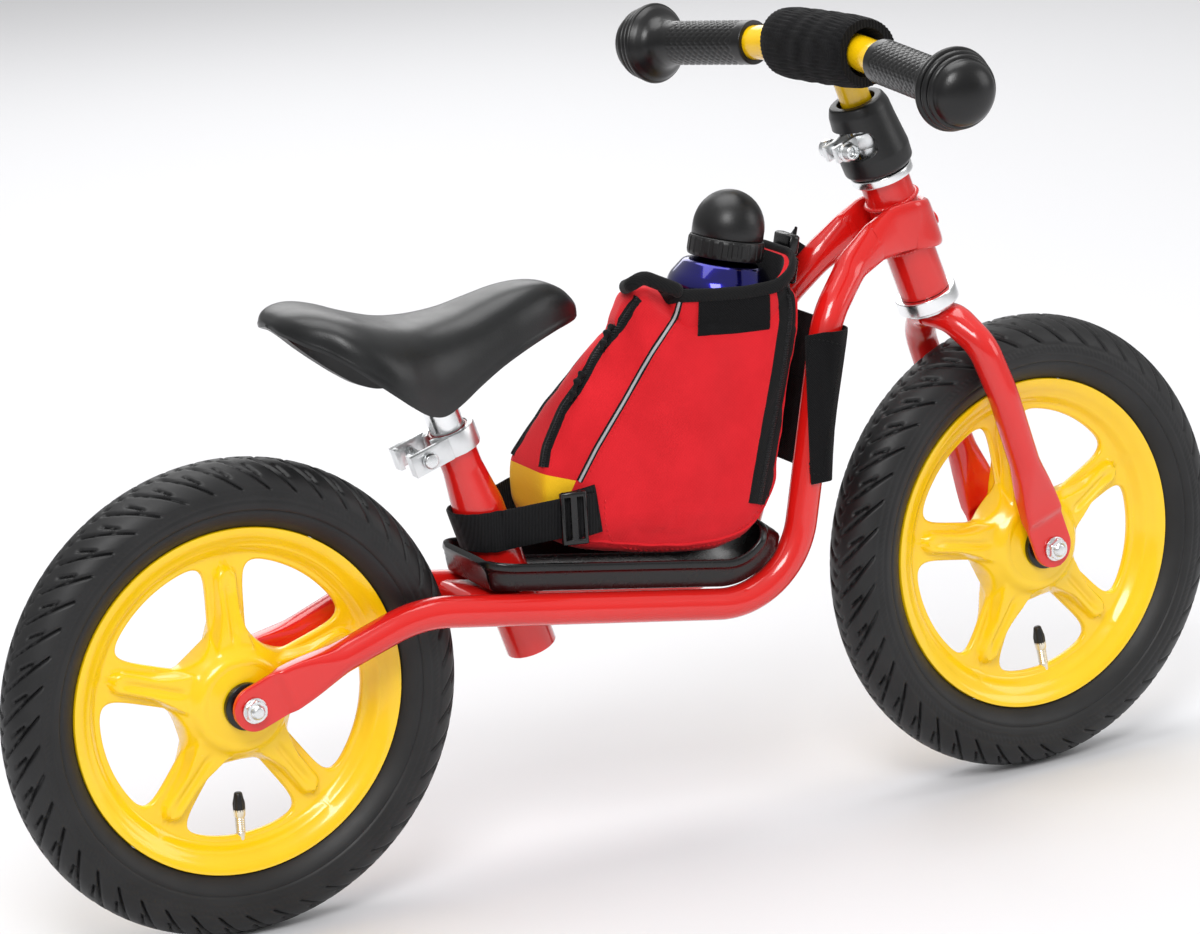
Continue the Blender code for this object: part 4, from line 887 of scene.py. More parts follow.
def eased(name, cadNode, material, body, slot, bevel=0.35, sharp=38.0):
    mesh = frame["nodes"][cadNode].data.copy()
    mesh.materials.clear()
    mesh.materials.append(material)
    form = bmesh.new()
    form.from_mesh(mesh)
    bmesh.ops.remove_doubles(form, verts=form.verts, dist=1e-5)
    bmesh.ops.dissolve_limit(form, angle_limit=0.02, verts=form.verts, edges=form.edges)
    form.to_mesh(mesh)
    form.free()
    piece = bpy.data.objects.new(name, mesh)
    bpy.context.scene.collection.objects.link(piece)
    if bevel:
        edges = piece.modifiers.new("easedEdges", "BEVEL")
        edges.width = bevel * mm
        edges.segments = 2
        edges.limit_method = "ANGLE"
        edges.angle_limit = math.radians(sharp)
        bake(piece)
    piece.data.shade_smooth()
    piece.data.set_sharp_from_angle(angle=math.radians(sharp))
    return hand(piece, body, slot, cadNode)


easedList = (("seatBridge", "seat_bridge", paintRed, "frame", "frame_red", 0.0),
             ("seatClamp", "seat_clamp", castAlloy, "frame", "cast_alloy", 0.5),
             ("seatClampBolt", "seat_clamp_bolt", zincPlate, "frame", "steel", 0.5),
             ("stemClamp", "stem_clamp", castAlloy, "steering", "cast_alloy", 0.4),
             ("stemClampBolt", "stem_clamp_bolt", zincPlate, "steering", "steel", 0.4),
             ("stemClampNut", "stem_clamp_nut", zincPlate, "steering", "steel", 0.4),
             ("buckleSocket", "buckle_socket", pianoBlack, "frame", "gloss_plastic", 0.8),
             ("bucklePlug", "buckle_plug", pianoBlack, "frame", "gloss_plastic", 0.8),
             ("saddleBase", "saddle_base", satinBlack, "seat", "black_plastic", 0.8),
             ("axleRear", "axle_rear", zincPlate, "frame", "steel", 0.3),
             ("axleFront", "axle_front", zincPlate, "steering", "steel", 0.3),
             ("lowerBearing", "headset_lower_bearing", chromePlate, "steering", "steel", 0.3),
             ("upperBearing", "headset_upper_bearing", chromePlate, "steering", "steel", 0.3),
             ("forkSteerer", "fork_steerer", zincPlate, "steering", "steel", 0.3))


def easedPieces():
    for name, cadNode, material, body, slot, bevel in easedList:
        eased(name, cadNode, material, body, slot, bevel)


# seat post, stem, handlebar, grips and stem cover

barShape = {"height": 183.5, "back": -4.0, "sweep": 10.0, "radius": 11.0, "gripFrom": 69.0}


def barPoints(across):
    reach = np.maximum(0.0, np.abs(across) - 12.0)
    back = barShape["back"] - reach * math.tan(math.radians(barShape["sweep"]))
    return steered(headPoints(barShape["height"] - 0.012 * reach, back, across))


def handlebar():
    b = barShape
    bends = barPoints(np.array((-163.0, -12.0, 12.0, 163.0)))
    path = resample(filletPath(bends / mm, (60.0, 60.0), 2.0), 3.0) * mm
    rings = sweep(path, b["radius"] * mm, b["radius"] * mm, 2.0, 48, headUp)
    makePiece("handlebarTube", rings, quads(len(rings), 48, False, True), paintYellow, 35.0,
              "handlebar", "bar_yellow", ("handlebar_tube",))
    turnedPiece("stemTube", ((10, 176), (10, 60), (8.5, 60), (8.5, 176)), (0.5,) * 4, headBase,
                headUp, paintYellow, "handlebar", "bar_yellow", ("stem_tube",))
    turnedPiece("seatPost", ((11, 210), (11, 60), (9.3, 60), (9.3, 210)), (0.5,) * 4, seatBase,
                seatUp, chromePlate, "seat", "steel", ("seat_post",))
    stemCover()
    for word, sign in (("Left", 1), ("Right", -1)):
        start = barPoints(np.array((sign * b["gripFrom"],)))[0]
        ends = barPoints(np.array((sign * 50.0, sign * 150.0)))
        grip("grip" + word, start, (ends[1] - ends[0]) / np.linalg.norm(ends[1] - ends[0]),
             "grip_" + word.lower())


coverShape = {"corners": ((12.5, 142), (17.5, 142), (19.8, 136), (20.6, 126), (22.9, 106),
                          (22.4, 96.5), (20.4, 94.2), (18.2, 94.2), (19.4, 101), (18.2, 122),
                          (16.6, 134), (12.5, 138.6)),
              "radii": (0.5, 2.6, 10.0, 12.0, 9.0, 3.0, 0.8, 0.6, 6.0, 12.0, 5.0, 0.4),
              "windowHalf": (12.5, 9.5), "windowPower": 2.6, "windowAt": (118.5, -20.5),
              "windowReach": 34, "sides": 48}


def stemCover():
    # a soft cover flared over the headset, with a rounded window through which the clamp shows
    c = coverShape
    cover = turnedPiece("stemCover", c["corners"], c["radii"], headBase, headUp, satinBlack,
                        "steering", "black_plastic", ("stem_cover",), 96)
    reach = c["windowReach"]
    path = np.stack([np.zeros(9), np.linspace(-reach, reach, 9), np.zeros(9)], 1)
    slot = sweep(path, *c["windowHalf"], c["windowPower"], c["sides"], np.array((1.0, 0, 0)))
    along, forward = c["windowAt"]
    window = headPoints(along + slot[..., 2], forward + slot[..., 0], slot[..., 1])
    carve(cover, steered(window), c["sides"])


gripShape = {"sleeve": 78.0, "radius": 14.2, "knob": 26.2}


def grip(name, start, axis, cadNode):
    # the sleeve, a flare, three rounded ridges round the knob, and a domed end
    g = gripShape
    s = g["sleeve"]
    ridges = []
    for k in range(3):
        turn = np.radians(np.linspace(82, -82, 11))
        ridges += [(g["knob"] - 2.6 - 1.55 * k + 2.4 * math.cos(a), s + 15.4 + 5.1 * k
                    - 2.35 * math.sin(a)) for a in turn]
    dome = [(20.3 * math.cos(a), s + 28.6 + 11.4 * math.sin(a))
            for a in np.radians(np.linspace(3, 90, 24))]
    sleeve = filletPath([(11.3, 0), (g["radius"], 0), (g["radius"], s), (17.0, s + 6.5),
                         (22.5, s + 10.5), (24.6, s + 13.2)], (1.0, 9.0, 12.0, 8.0), 0.8)
    rows = [tuple(p) for p in sleeve]
    line = np.array(rows + ridges + dome)
    bore = [(0, s + 20), (11.3, s + 20), (11.3, 0)]
    line = np.concatenate([bore[:1], bore[1:2], line])[::-1]

    def pattern(turn, height, radius):
        # a shallow lattice moulded into the sleeve, all the way round it
        on = smoothStep(height, 7, 9) * (1 - smoothStep(height, s - 11, s - 9))
        on = on * (np.abs(radius - g["radius"]) < 0.4)
        lattice = np.maximum(np.cos(turn * 16 + height * 1.1), np.cos(turn * 16 - height * 1.1))
        return -0.32 * on * (lattice > 0.55)
    fine = []
    for a, b in zip(line[:-1], line[1:]):
        gap = np.linalg.norm(b - a)
        count = max(1, int(gap / 0.9)) if abs(a[0] - g["radius"]) < 0.2 else 1
        fine.append(a + (b - a) * np.linspace(0, 1, count, endpoint=False)[:, None])
    line = np.concatenate(fine + [line[-1:]])
    points = revolve(line, start, axis, 192, pattern)
    makePiece(name, points, quads(len(line), 192, False, True), buttonRubber, 45.0, "handlebar",
              "grip_rubber", (cadNode,))


# bar pad

def barPad():
    # a knitted sleeve round the bar: its radius swells and sags a little and its ends curl
    rows, cols = 120, 144
    half = 43.0
    along = np.linspace(-half, half, rows)[:, None]
    turn = np.linspace(0, 2 * math.pi, cols, endpoint=False)[None, :]
    ends = np.abs(along) / half
    outer = 22.6 - 1.6 * ends ** 6 + 0.35 * np.sin(along * 0.35 + 2 * turn) * (1 - ends)
    outer = outer + 0.5 * np.cos(3 * turn + 0.5) + 0.28 * np.cos(turn * 48)
    inner = np.full((rows, cols), 15.6)
    radius = np.concatenate([outer, inner[::-1]])
    shift = np.concatenate([along, along[::-1]])
    centre = barPoints(np.array((0.0,)))[0] - (headUp * 1 + headForward * 2.5) * mm
    axis = frontSide
    first, second, third = basis(axis)
    points = centre + mm * ((radius * np.cos(turn))[..., None] * first
                            + (radius * np.sin(turn))[..., None] * second
                            + (shift + 0 * radius)[..., None] * third)
    pad = makePiece("barPad", points, quads(2 * rows, cols, True, True), knitBlack, 60.0,
                    "handlebar", "pad_fabric", ("bar_pad",))


# saddle

saddleShape = {"stations": ((40.6, 2, 223.5, 225.2), (42, 14, 221.0, 227.5),
                            (46, 25, 218.5, 230.5), (52, 34, 215.0, 232.5),
                            (60, 42, 211.0, 233.2), (70, 51, 204, 232.0), (82, 57, 194, 228.6),
                            (95, 59, 183.5, 223.5), (108, 57, 173.5, 219.2),
                            (120, 52.5, 166, 216.2), (133, 47, 162.5, 215),
                            (147, 42, 166.5, 215.2), (163, 37, 174.5, 217),
                            (180, 32.5, 182.5, 221), (197, 28.5, 189, 224.8),
                            (212, 24, 193.5, 226), (225, 19, 196.5, 224.2),
                            (236, 13.5, 198, 219), (243, 8.5, 198.8, 212.5),
                            (246.6, 4.5, 200.2, 207.5), (247.6, 0.8, 202.5, 204.0)), "wall": 4.0}


def saddle():
    # each station gives x, half width, and the heights of the skirt's edge and the crown;
    # across it, width is a power of cosine and height a power of sine, so the crown is
    # rounded and the skirt drops steeply. The foam is a shell with a rolled lower edge
    at = np.linspace(0, len(saddleShape["stations"]) - 1, 150)
    rows = splineThrough(saddleShape["stations"], at)
    turn = np.linspace(0, math.pi, 97)[None, :]
    x, half, low, high = (rows[:, k:k + 1] for k in range(4))
    half = np.maximum(half, 0.4)
    across = np.sign(np.cos(turn)) * np.abs(np.cos(turn)) ** 0.62 * half
    up = low + (high - low) * np.sin(turn) ** 0.75
    lip = 0.9 * np.exp(-((up - low - 2.2) / 1.4) ** 2) * np.sign(across) * (half > 8)
    outer = np.stack([x + 0 * up, across + lip, up], -1)
    shrink = np.clip(1 - saddleShape["wall"] / half, 0.05, 1)
    inner = np.stack([x + (144 - x) * 0.03 + 0 * up, across * shrink,
                      low + (up - low) * 0.80 + 0.2], -1)[::-1]
    shell = np.concatenate([outer, inner])
    count = shell.shape[0]
    faces = quads(count, 97, True, False)
    rowsIndex = np.arange(150)
    rims = []
    for column in (0, 96):
        a = rowsIndex[:-1] * 97 + column
        b = rowsIndex[1:] * 97 + column
        c = (count - 2 - rowsIndex[:-1]) * 97 + column
        d = (count - 1 - rowsIndex[:-1]) * 97 + column
        rims.append(np.stack([a, b, c, d], 1))
    piece = makePiece("saddleShell", place(shell), np.concatenate([faces] + rims), foamSkin, 55.0,
                      "seat", "saddle_skin", ("saddle",))


# footboard

boardShape = {"tubes": ((113.2, 40.9), (371.5, 0.4), (410.3, 190.0)), "lift": 14.6, "bend": 55.5,
              "rear": 204.0, "front": 44.0, "half": 41.0, "corner": 20.0, "thick": 4.0,
              "rim": 12.5, "rimFrom": 7.5, "rimTo": 1.5, "sides": 72}


def footboard():
    # a tray carried along the tubes' line: its section is flat with a raised rounded rim, and
    # a hole through it takes the seat tube
    f = boardShape
    lift = f["lift"]
    rear, corner, front = np.array(f["tubes"])
    a = (corner - rear) / np.linalg.norm(corner - rear)
    b = (front - corner) / np.linalg.norm(front - corner)
    rearUp, frontUp = np.array((-a[1], a[0])), np.array((-b[1], b[0]))
    meet = corner + (rearUp + frontUp) * lift / (1 + rearUp @ frontUp)
    ends = [meet - a * f["rear"], meet, meet + b * f["front"]]
    path = filletPath([(p[0], 0, p[1]) for p in ends], (f["bend"] - lift,), 2.0)
    path = resample(path, 1.6)
    path = path[(path[:, 0] < 300) | (path[:, 2] < 53.0)]
    run = runLength(path)
    end = np.minimum(run, run[-1] - run)
    inset = f["corner"] * (1 - np.sqrt(1 - (1 - np.minimum(end, f["corner"]) / f["corner"]) ** 2))
    half = f["half"] - inset * 0.9
    blunt = 1 - np.minimum(end, f["thick"]) / f["thick"]
    thick = f["thick"] * np.sqrt(np.clip(1 - blunt ** 2, 0.02, 1))
    rings = sweep(path, half, thick, 5.0, f["sides"])
    ahead = np.gradient(path, axis=0)
    ahead /= np.linalg.norm(ahead, axis=1, keepdims=True)
    up = np.cross(ahead, side)
    up = np.concatenate([up[:1], up, up[-1:]])
    fromEdge = np.concatenate([half[:1], half, half[-1:]])[:, None] - np.abs(rings[..., 1])
    fromEnd = np.concatenate([end[:1], end, end[-1:]])[:, None]
    near = np.minimum(fromEdge, fromEnd)
    rise = f["rim"] * (1 - smoothStep(near, f["rimTo"], f["rimFrom"]))
    rings = rings + rise[..., None] * up[:, None]
    board = makePiece("footboard", place(rings), quads(len(rings), f["sides"], False, True),
                      pianoBlack, 40.0, "frame", "gloss_plastic", ("footboard",))
    carve(board, revolve([(0, 90), (17.0, 90), (17.0, 0), (0, 0)], seatBase, seatUp, 64), 64)


# drinking bottle

def bottle():
    turnedPiece("bottleBody", ((0, 158), (17, 158), (17, 152.5), (25.5, 150), (34, 138),
                               (34, 2.5), (30, 0), (0, 0)), (0.5, 1.5, 6, 15, 4, 3), bottleBase,
                bottleUp, anodisedBlue, "bottle", "bottle_blue", ("bottle",), 128, None, 35.0,
                False)

    def flutes(turn, height, radius):
        on = (radius > 23.0) * smoothStep(height, 154.4, 155.6) * (1 - smoothStep(height, 164, 165))
        return 0.55 * on * (np.abs((turn * 24 / math.pi) % 2 - 1) > 0.35)
    corners = ((11, 166), (23.4, 166), (23.6, 153.3), (17.3, 153.3), (17.3, 158.4), (11, 158.4))
    line = filletPath(corners, (1.2, 0.8, 0.4, 0.4), 0.8)
    line = np.concatenate([line[:1]] + [a + (b - a) * np.linspace(0, 1, 12)[1:, None]
                                        for a, b in zip(line[:-1], line[1:])])
    points = revolve(line, bottleBase, bottleUp, 288, flutes)
    makePiece("bottleCollar", points, quads(len(line), 288, True, True), satinBlack, 30.0,
              "bottle", "black_plastic", ("bottle_collar",))
    dome = [(22.6 * math.cos(a), 172 + 24 * math.sin(a))
            for a in np.radians(np.linspace(90, 0, 40))]
    line = np.array(dome + [(22.6, 166.9), (22.2, 166.3), (20.8, 166.3), (20.8, 172), (14, 189),
                            (0, 192.5)])
    points = revolve(line, bottleBase, bottleUp, 128)
    makePiece("bottleCap", points, quads(len(line), 128, False, True), satinBlack, 40.0,
              "bottle_cap", "black_plastic", ("bottle_cap",))


# bag: a padded body eased by a short cloth simulation, with its trims laid on it

bagShape = {"voxel": 3.6, "pressure": 4.0, "frames": 16, "cap": 4.5, "plane": -42.0,
            "view": (-1262.7, -2981.8, 963.8)}
bagLines = {
    "rearZip": ((270, 214), (256, 198), (247, 191), (239, 183), (226, 165), (215, 154),
                (208, 142), (202, 131), (199, 119)),
    "piping": ((299, 208), (296, 199), (278, 179), (257, 151.5), (236, 125), (223, 106)),
    "band": ((373, 211), (375.5, 195), (375, 183), (368.5, 153.5), (359, 117.5), (347, 70.5)),
    "bottomSeam": ((240, 92), (239, 78), (242, 66), (252, 58.5), (268, 54), (292, 51), (314, 50),
                   (334, 52), (347, 57), (355, 66), (359, 76)),
    "edge": ((213, 66), (223, 60), (249, 53.5), (292, 46.5), (313, 45.8), (335, 47.5),
             (352, 53.5), (363, 65), (368, 83), (374, 115), (381, 150), (386, 174), (391.5, 195))}


def sagged(points):
    # the empty rear compartment leans: its far side hangs lower and further in, by an amount
    # that grows with height and fades out before the bottle
    x, y, z = ((points - rearAxle) / mm).T
    rear = 1 - smoothStep(x, 284, 304)
    far = np.clip(y + 30, 0, None)
    high = smoothStep(z, 95, 190)
    y = y - 0.42 * far * high * rear
    z = z - 0.24 * np.clip(y + 41, 0, None) * smoothStep(z, 165, 215) * rear
    x = x + 0.10 * far * high * rear
    return place(np.stack([x, y, z], 1))


mouthShape = {"x": (300, 322, 346, 368, 382, 391), "near": (210.5, 207.5, 205.5, 206, 212, 219),
              "far": (190, 192, 197, 205, 212, 219), "half": 40.3, "foot": 176.0, "lean": 0.2144,
              "rear": 298, "front": 391, "corners": (9.0, 26.0, 26.0, 9.0), "wall": 2.6,
              "flare": 2.2, "rows": 14}


def mouthLoop():
    # the pocket's outline from above, with the height of its bound edge at each point
    m = mouthShape
    half, rear, front = m["half"], m["rear"], m["front"]
    path = filletPath([(rear, 0, 0), (rear, -half, 0), (front, -half, 0), (front, half, 0),
                       (rear, half, 0), (rear, 0, 0)], m["corners"], 1.5)
    path = resample(path, 2.0)[:-1]
    share = np.clip((path[:, 1] + half) / (2 * half), 0, 1)
    path[:, 2] = (np.interp(path[:, 0], m["x"], m["near"]) * (1 - share)
                  + np.interp(path[:, 0], m["x"], m["far"]) * share)
    for _ in range(4):
        path[:, 2] = (np.roll(path[:, 2], 1) + 2 * path[:, 2] + np.roll(path[:, 2], -1)) / 4
    return path


def mouthWall():
    # the cloth wall of the bottle's pocket, up to its bound edge: it leans with the bottle at
    # the front, and its outside swells by the square of the way down to its foot
    m = mouthShape
    path = mouthLoop()
    ahead = (np.roll(path, -1, 0) - np.roll(path, 1, 0)) * (1, 1, 0)
    ahead /= np.linalg.norm(ahead, axis=1, keepdims=True)
    out = np.cross(ahead, (0, 0, 1.0))
    top = path[:, 2]
    rows = []
    for depth, share in ([(0.0, v) for v in np.linspace(0, 1, m["rows"])]
                         + [(m["wall"], v) for v in np.linspace(1, 0, m["rows"])]):
        height = m["foot"] + (top - m["foot"]) * share
        lean = (219 - height) * m["lean"] * smoothStep(path[:, 0], 340, 385)
        inward = m["flare"] * (1 - share) ** 2 if depth == 0 else depth + m["flare"]
        ring = path - out * inward
        rows.append(np.stack([ring[:, 0] - lean, ring[:, 1], height], 1))
    return makePiece("mouthWall", place(np.array(rows)), quads(len(rows), len(path), True, True),
                     bagNylon, 60.0, "frame", "bag_fabric")


def softBody(piece):
    # voxel remesh, then cloth under a little pressure; how far each point may move is
    # limited, and is nothing beside the bottle, the footboard and the strap
    b = bagShape
    even = piece.modifiers.new("evenMesh", "REMESH")
    even.mode = "VOXEL"
    even.voxel_size = b["voxel"] * mm
    bake(piece)
    mesh = piece.data
    count = len(mesh.vertices)
    start = np.empty(count * 3)
    mesh.vertices.foreach_get("co", start)
    start = start.reshape(-1, 3)
    cloth = piece.modifiers.new("softness", "CLOTH")
    cloth.settings.use_pressure = True
    cloth.settings.uniform_pressure_force = b["pressure"]
    cloth.settings.effector_weights.gravity = 0
    cloth.settings.quality = 5
    scene = bpy.context.scene
    for moment in range(1, b["frames"] + 1):
        scene.frame_set(moment)
    moved = piece.evaluated_get(bpy.context.evaluated_depsgraph_get()).data
    end = np.empty(count * 3)
    moved.vertices.foreach_get("co", end)
    end = end.reshape(-1, 3)
    piece.modifiers.clear()
    scene.frame_set(1)
    shift = end - start
    length = np.linalg.norm(shift, axis=1)
    local = (start - rearAxle) / mm
    axis = (start - bottleBase) - ((start - bottleBase) @ bottleUp)[:, None] * bottleUp
    room = smoothStep(np.linalg.norm(axis, axis=1) / mm, 36, 48)
    room = room * smoothStep(local[:, 2], 54, 72)
    room = room * smoothStep(local[:, 0] + 0.5 * local[:, 2], 262, 292)
    cap = b["cap"] * mm * room
    allowed = cap * np.tanh(length / (cap + 1e-9))
    start = start + shift * (allowed / np.maximum(length, 1e-9))[:, None]
    mesh.vertices.foreach_set("co", sagged(start).ravel())
    smooth = piece.modifiers.new("finer", "SUBSURF")
    smooth.levels = smooth.render_levels = 1
    bake(piece)
    piece.data.shade_smooth()


def bagHits(tree, flat, flip=1):
    # where lines of sight through points of the bag's near plane meet its surface
    mirror = np.array((1.0, flip, 1.0))
    eye = Vector([float(v) for v in place(np.array(bagShape["view"])) * mirror])
    spots, normals = [], []
    for x, z in flat:
        aim = Vector([float(v) for v in place(np.array((x, bagShape["plane"], z))) * mirror])
        spot, normal, _, _ = tree.ray_cast(eye, (aim - eye).normalized())
        if spot is None:
            spot, normal, _, _ = tree.find_nearest(aim)
        spots.append(spot)
        normals.append(normal)
    return np.array(spots), np.array(normals)


def evened(grid, rounds=3):
    # each point becomes a quarter of each neighbour along the strip and half of itself
    for _ in range(rounds):
        inside = (grid[:-2] + 2 * grid[1:-1] + grid[2:]) / 4
        grid = np.concatenate([grid[:1], inside, grid[-1:]])
    return grid


trimShape = {"bend": 12.0, "step": 1.6, "bite": 0.7}


def trim(name, tree, line, wide, thick, material, slot, profile=4.0):
    # a flat strip laid on the bag along a line, and its mirror image on the far side; its
    # upper face swells as a superellipse of the given power
    corners = [(x, 0, z) for x, z in line]
    radii = (trimShape["bend"],) * (len(corners) - 2)
    path = resample(filletPath(corners, radii, 2.0), trimShape["step"])[:, ::2]
    ahead = np.gradient(path, axis=0)
    ahead /= np.linalg.norm(ahead, axis=1, keepdims=True)
    across = np.stack([-ahead[:, 1], ahead[:, 0]], 1)
    spread = np.linspace(-1, 1, max(5, int(wide / trimShape["step"])))
    flat = path[:, None] + across[:, None] * (spread * wide / 2)[None, :, None]
    swell = (1 - np.abs(spread) ** profile) ** (1 / profile)
    for word, flip in (("Near", 1), ("Far", -1)):
        spots, normals = bagHits(tree, flat.reshape(-1, 2), flip)
        spots = evened(spots.reshape(flat.shape[:2] + (3,)))
        normals = evened(normals.reshape(flat.shape[:2] + (3,)), 5)
        normals /= np.linalg.norm(normals, axis=2, keepdims=True)
        top = spots + normals * mm * (thick * swell)[None, :, None]
        under = spots - normals * mm * trimShape["bite"]
        grid = np.concatenate([top, under[:, ::-1]], 1)
        count = grid.shape[1]
        half = count // 2
        caps = [(row * count + k, row * count + k + 1, row * count + count - 2 - k,
                 row * count + count - 1 - k) for row in (0, len(grid) - 1)
                for k in range(half - 1)]
        faces = np.concatenate([quads(len(grid), count, False, True), np.array(caps)])
        makePiece(name + word, grid, faces, material, 50.0, "frame", slot)


def stitches(name, tree, line, material, length=2.4, gap=1.3, wide=0.5, radius=8.0):
    # a row of short raised threads along a line on the bag or the wrap, on both sides; each is
    # five rings of six points
    corners = [(x, 0, z) for x, z in line]
    path = resample(filletPath(corners, (radius,) * (len(corners) - 2), 2.0), 0.6)
    run = runLength(path)
    starts = np.arange(0.5, run[-1] - length, length + gap)
    at = starts[:, None] + np.linspace(0, length, 5)[None, :]
    flat = np.stack([np.interp(at, run, path[:, 0]), np.interp(at, run, path[:, 2])], -1)
    turn = np.linspace(0, 2 * math.pi, 6, endpoint=False)
    size = wide * mm * np.array((0.15, 0.9, 1.0, 0.9, 0.15))[None, :, None, None]
    ends = np.array([(0, 1, 2, 3), (0, 3, 4, 5), (24, 25, 26, 27), (24, 27, 28, 29)])
    face = np.concatenate([quads(5, 6, False, True), ends])
    faces = (face[None] + 30 * np.arange(len(at))[:, None, None]).reshape(-1, 4)
    for word, flip in (("Near", 1), ("Far", -1)):
        spots, normals = bagHits(tree, flat.reshape(-1, 2), flip)
        spots = spots.reshape(at.shape + (3,))
        normals = normals.reshape(at.shape + (3,))
        ahead = np.gradient(spots, axis=1)
        ahead /= np.linalg.norm(ahead, axis=2, keepdims=True)
        across = np.cross(normals, ahead)
        rings = (spots + normals * mm * 0.12)[:, :, None] + size * (
            np.cos(turn)[None, None, :, None] * across[:, :, None]
            + np.sin(turn)[None, None, :, None] * normals[:, :, None])
        makePiece(name + word, rings.reshape(-1, 3), faces, material, 60.0, "frame",
                  "bag_fabric")


def binding(name, path, wide, tall, material):
    # a bound edge: a closed oval roll along a path in frame millimetres
    ahead = np.roll(path, -1, 0) - np.roll(path, 1, 0)
    ahead /= np.linalg.norm(ahead, axis=1, keepdims=True)
    out = np.cross(ahead, (0, 0, 1.0))
    out /= np.linalg.norm(out, axis=1, keepdims=True)
    up = np.cross(out, ahead)
    turn = np.linspace(0, 2 * math.pi, 24, endpoint=False)[None, :, None]
    rings = path[:, None] + wide * np.cos(turn) * out[:, None] + tall * np.sin(turn) * up[:, None]
    return makePiece(name, place(rings), quads(len(rings), 24, True, True), material, 50.0,
                     "frame", "bag_fabric")


def zipPull(name, tree, spot):
    # a knotted cord loop hanging from the zip
    hits, normals = bagHits(tree, [spot, (spot[0] - 3, spot[1] - 6)])
    down = hits[1] - hits[0]
    down /= np.linalg.norm(down)
    out = normals[0]
    path = np.array([hits[0] + mm * (out * o + down * d) for o, d in
                     ((1.5, -3.0), (3.6, 0.5), (4.4, 5.0), (4.2, 9.5), (4.6, 14.0), (4.0, 17.0))])
    path = resample(filletPath((path - rearAxle) / mm, (3.0,) * 4, 0.8), 0.7)
    run = runLength(path)
    knots = sum(np.exp(-((run - centre) / 1.5) ** 2) for centre in (1.5, 7.5, 15.5))
    size = 1.3 + 1.5 * knots
    size[0] = size[-1] = 0.4
    rings = sweep(path, size, size, 2.0, 16)
    makePiece(name, place(rings), quads(len(rings), 16, False, True), blackTape, 60.0, "frame",
              "bag_fabric")


def lineWith(piece, material):
    # the faces that look towards the bottle are the pocket's lining
    piece.data.materials.append(material)
    polygons = piece.data.polygons
    centres = np.empty(len(polygons) * 3)
    normals = np.empty(len(polygons) * 3)
    polygons.foreach_get("center", centres)
    polygons.foreach_get("normal", normals)
    centres = centres.reshape(-1, 3)
    reach = centres - bottleBase
    reach = reach - (reach @ bottleUp)[:, None] * bottleUp
    reach /= np.linalg.norm(reach, axis=1, keepdims=True)
    facing = -(normals.reshape(-1, 3) * reach).sum(1)
    local = (centres - rearAxle) / mm
    lined = (facing > 0.35) & (local[:, 2] > 110) & (local[:, 0] > 301)
    polygons.foreach_set("material_index", lined.astype(np.int32))


def bag():
    body = eased("bagBody", "bag", bodyNylon, "frame", "bag_fabric", 0.0)
    softBody(body)
    wall = mouthWall()
    form = bmesh.new()
    form.from_mesh(body.data)
    form.from_mesh(wall.data)
    form.to_mesh(body.data)
    tree = BVHTree.FromBMesh(form)
    form.free()
    body.data.shade_smooth()
    bpy.data.objects.remove(wall, do_unlink=True)
    lineWith(body, liningCloth)
    lines = bagLines
    trim("rearZipTape", tree, lines["rearZip"], 7.5, 0.5, blackTape, "bag_fabric")
    trim("rearZipTeeth", tree, lines["rearZip"], 3.0, 1.5, zipTeeth, "bag_fabric", profile=2.0)
    trim("pipingEdge", tree, lines["piping"], 4.6, 0.7, blackTape, "bag_fabric", profile=2.5)
    trim("pipingCord", tree, lines["piping"], 2.5, 1.5, greyPiping, "bag_fabric", profile=2.0)
    trim("bandTape", tree, lines["band"], 15.0, 0.8, blackTape, "bag_fabric")
    trim("bandTeeth", tree, lines["band"], 4.0, 1.7, zipTeeth, "bag_fabric", profile=2.5)
    trim("edgeRoll", tree, lines["edge"], 3.0, 1.0, bagNylon, "bag_fabric", profile=2.0)
    trim("loopPatch", tree, ((311, 195.0), (338, 192.5), (361, 191.5)), 23.0, 1.3, loopPile,
         "pad_fabric", profile=8.0)
    trim("strapEnd", tree, ((209, 85), (222, 85.5), (235, 87)), 31.0, 2.2, webbing, "webbing",
         profile=9.0)
    stitches("bottomStitch", tree, lines["bottomSeam"], bagNylon)
    stitches("bandStitchInner", tree, [(x - 6.0, z) for x, z in lines["band"][1:]], blackTape)
    stitches("bandStitchOuter", tree, [(x + 6.0, z) for x, z in lines["band"][1:]], blackTape)
    stitches("pipingStitch", tree, [(x + 4.0, z - 1.5) for x, z in lines["piping"][1:]],
             bagNylon, 2.2, 1.2, 0.35)
    stitches("loopStitch", tree, ((313, 186.5), (338, 184), (360, 183)), blackTape, 1.8, 1.0,
             0.4)
    crest = [(300, -20, 210), (301, -41.0, 213), (289, -41.0, 219), (275, -40.5, 226),
             (268, -38, 222), (272, -22, 217), (281, -6, 213), (298, -4, 207), (300, -20, 210)]
    crest = resample(filletPath(crest, (7.0,) * 7, 2.0), 2.0)[:-1]
    binding("topBinding", crest, 3.8, 4.4, blackTape)
    binding("mouthBinding", mouthLoop(), 2.4, 4.2, blackTape)
    for word, spot in (("Upper", (251, 195)), ("Lower", (229, 170))):
        zipPull("zipPull" + word, tree, spot)


seatStrapPath = {"x": 177.5, "height": 77.0, "radius": 18.4, "stretch": 1.06,
                 "front": ((236, 38, 83), (214, 32.5, 82))}
frameStrapPath = ((407, 6, 221), (411, 12, 219), (414, 22, 214), (419, 34, 209.5), (427, 42, 203),
                  (434, 41, 197))
wrapPath = {"tube": 33.0, "out": 11.6, "back": (-14.0, 45.1), "x": 372.2, "slope": 0.2043,
            "middle": 125.0, "half": 48.0}


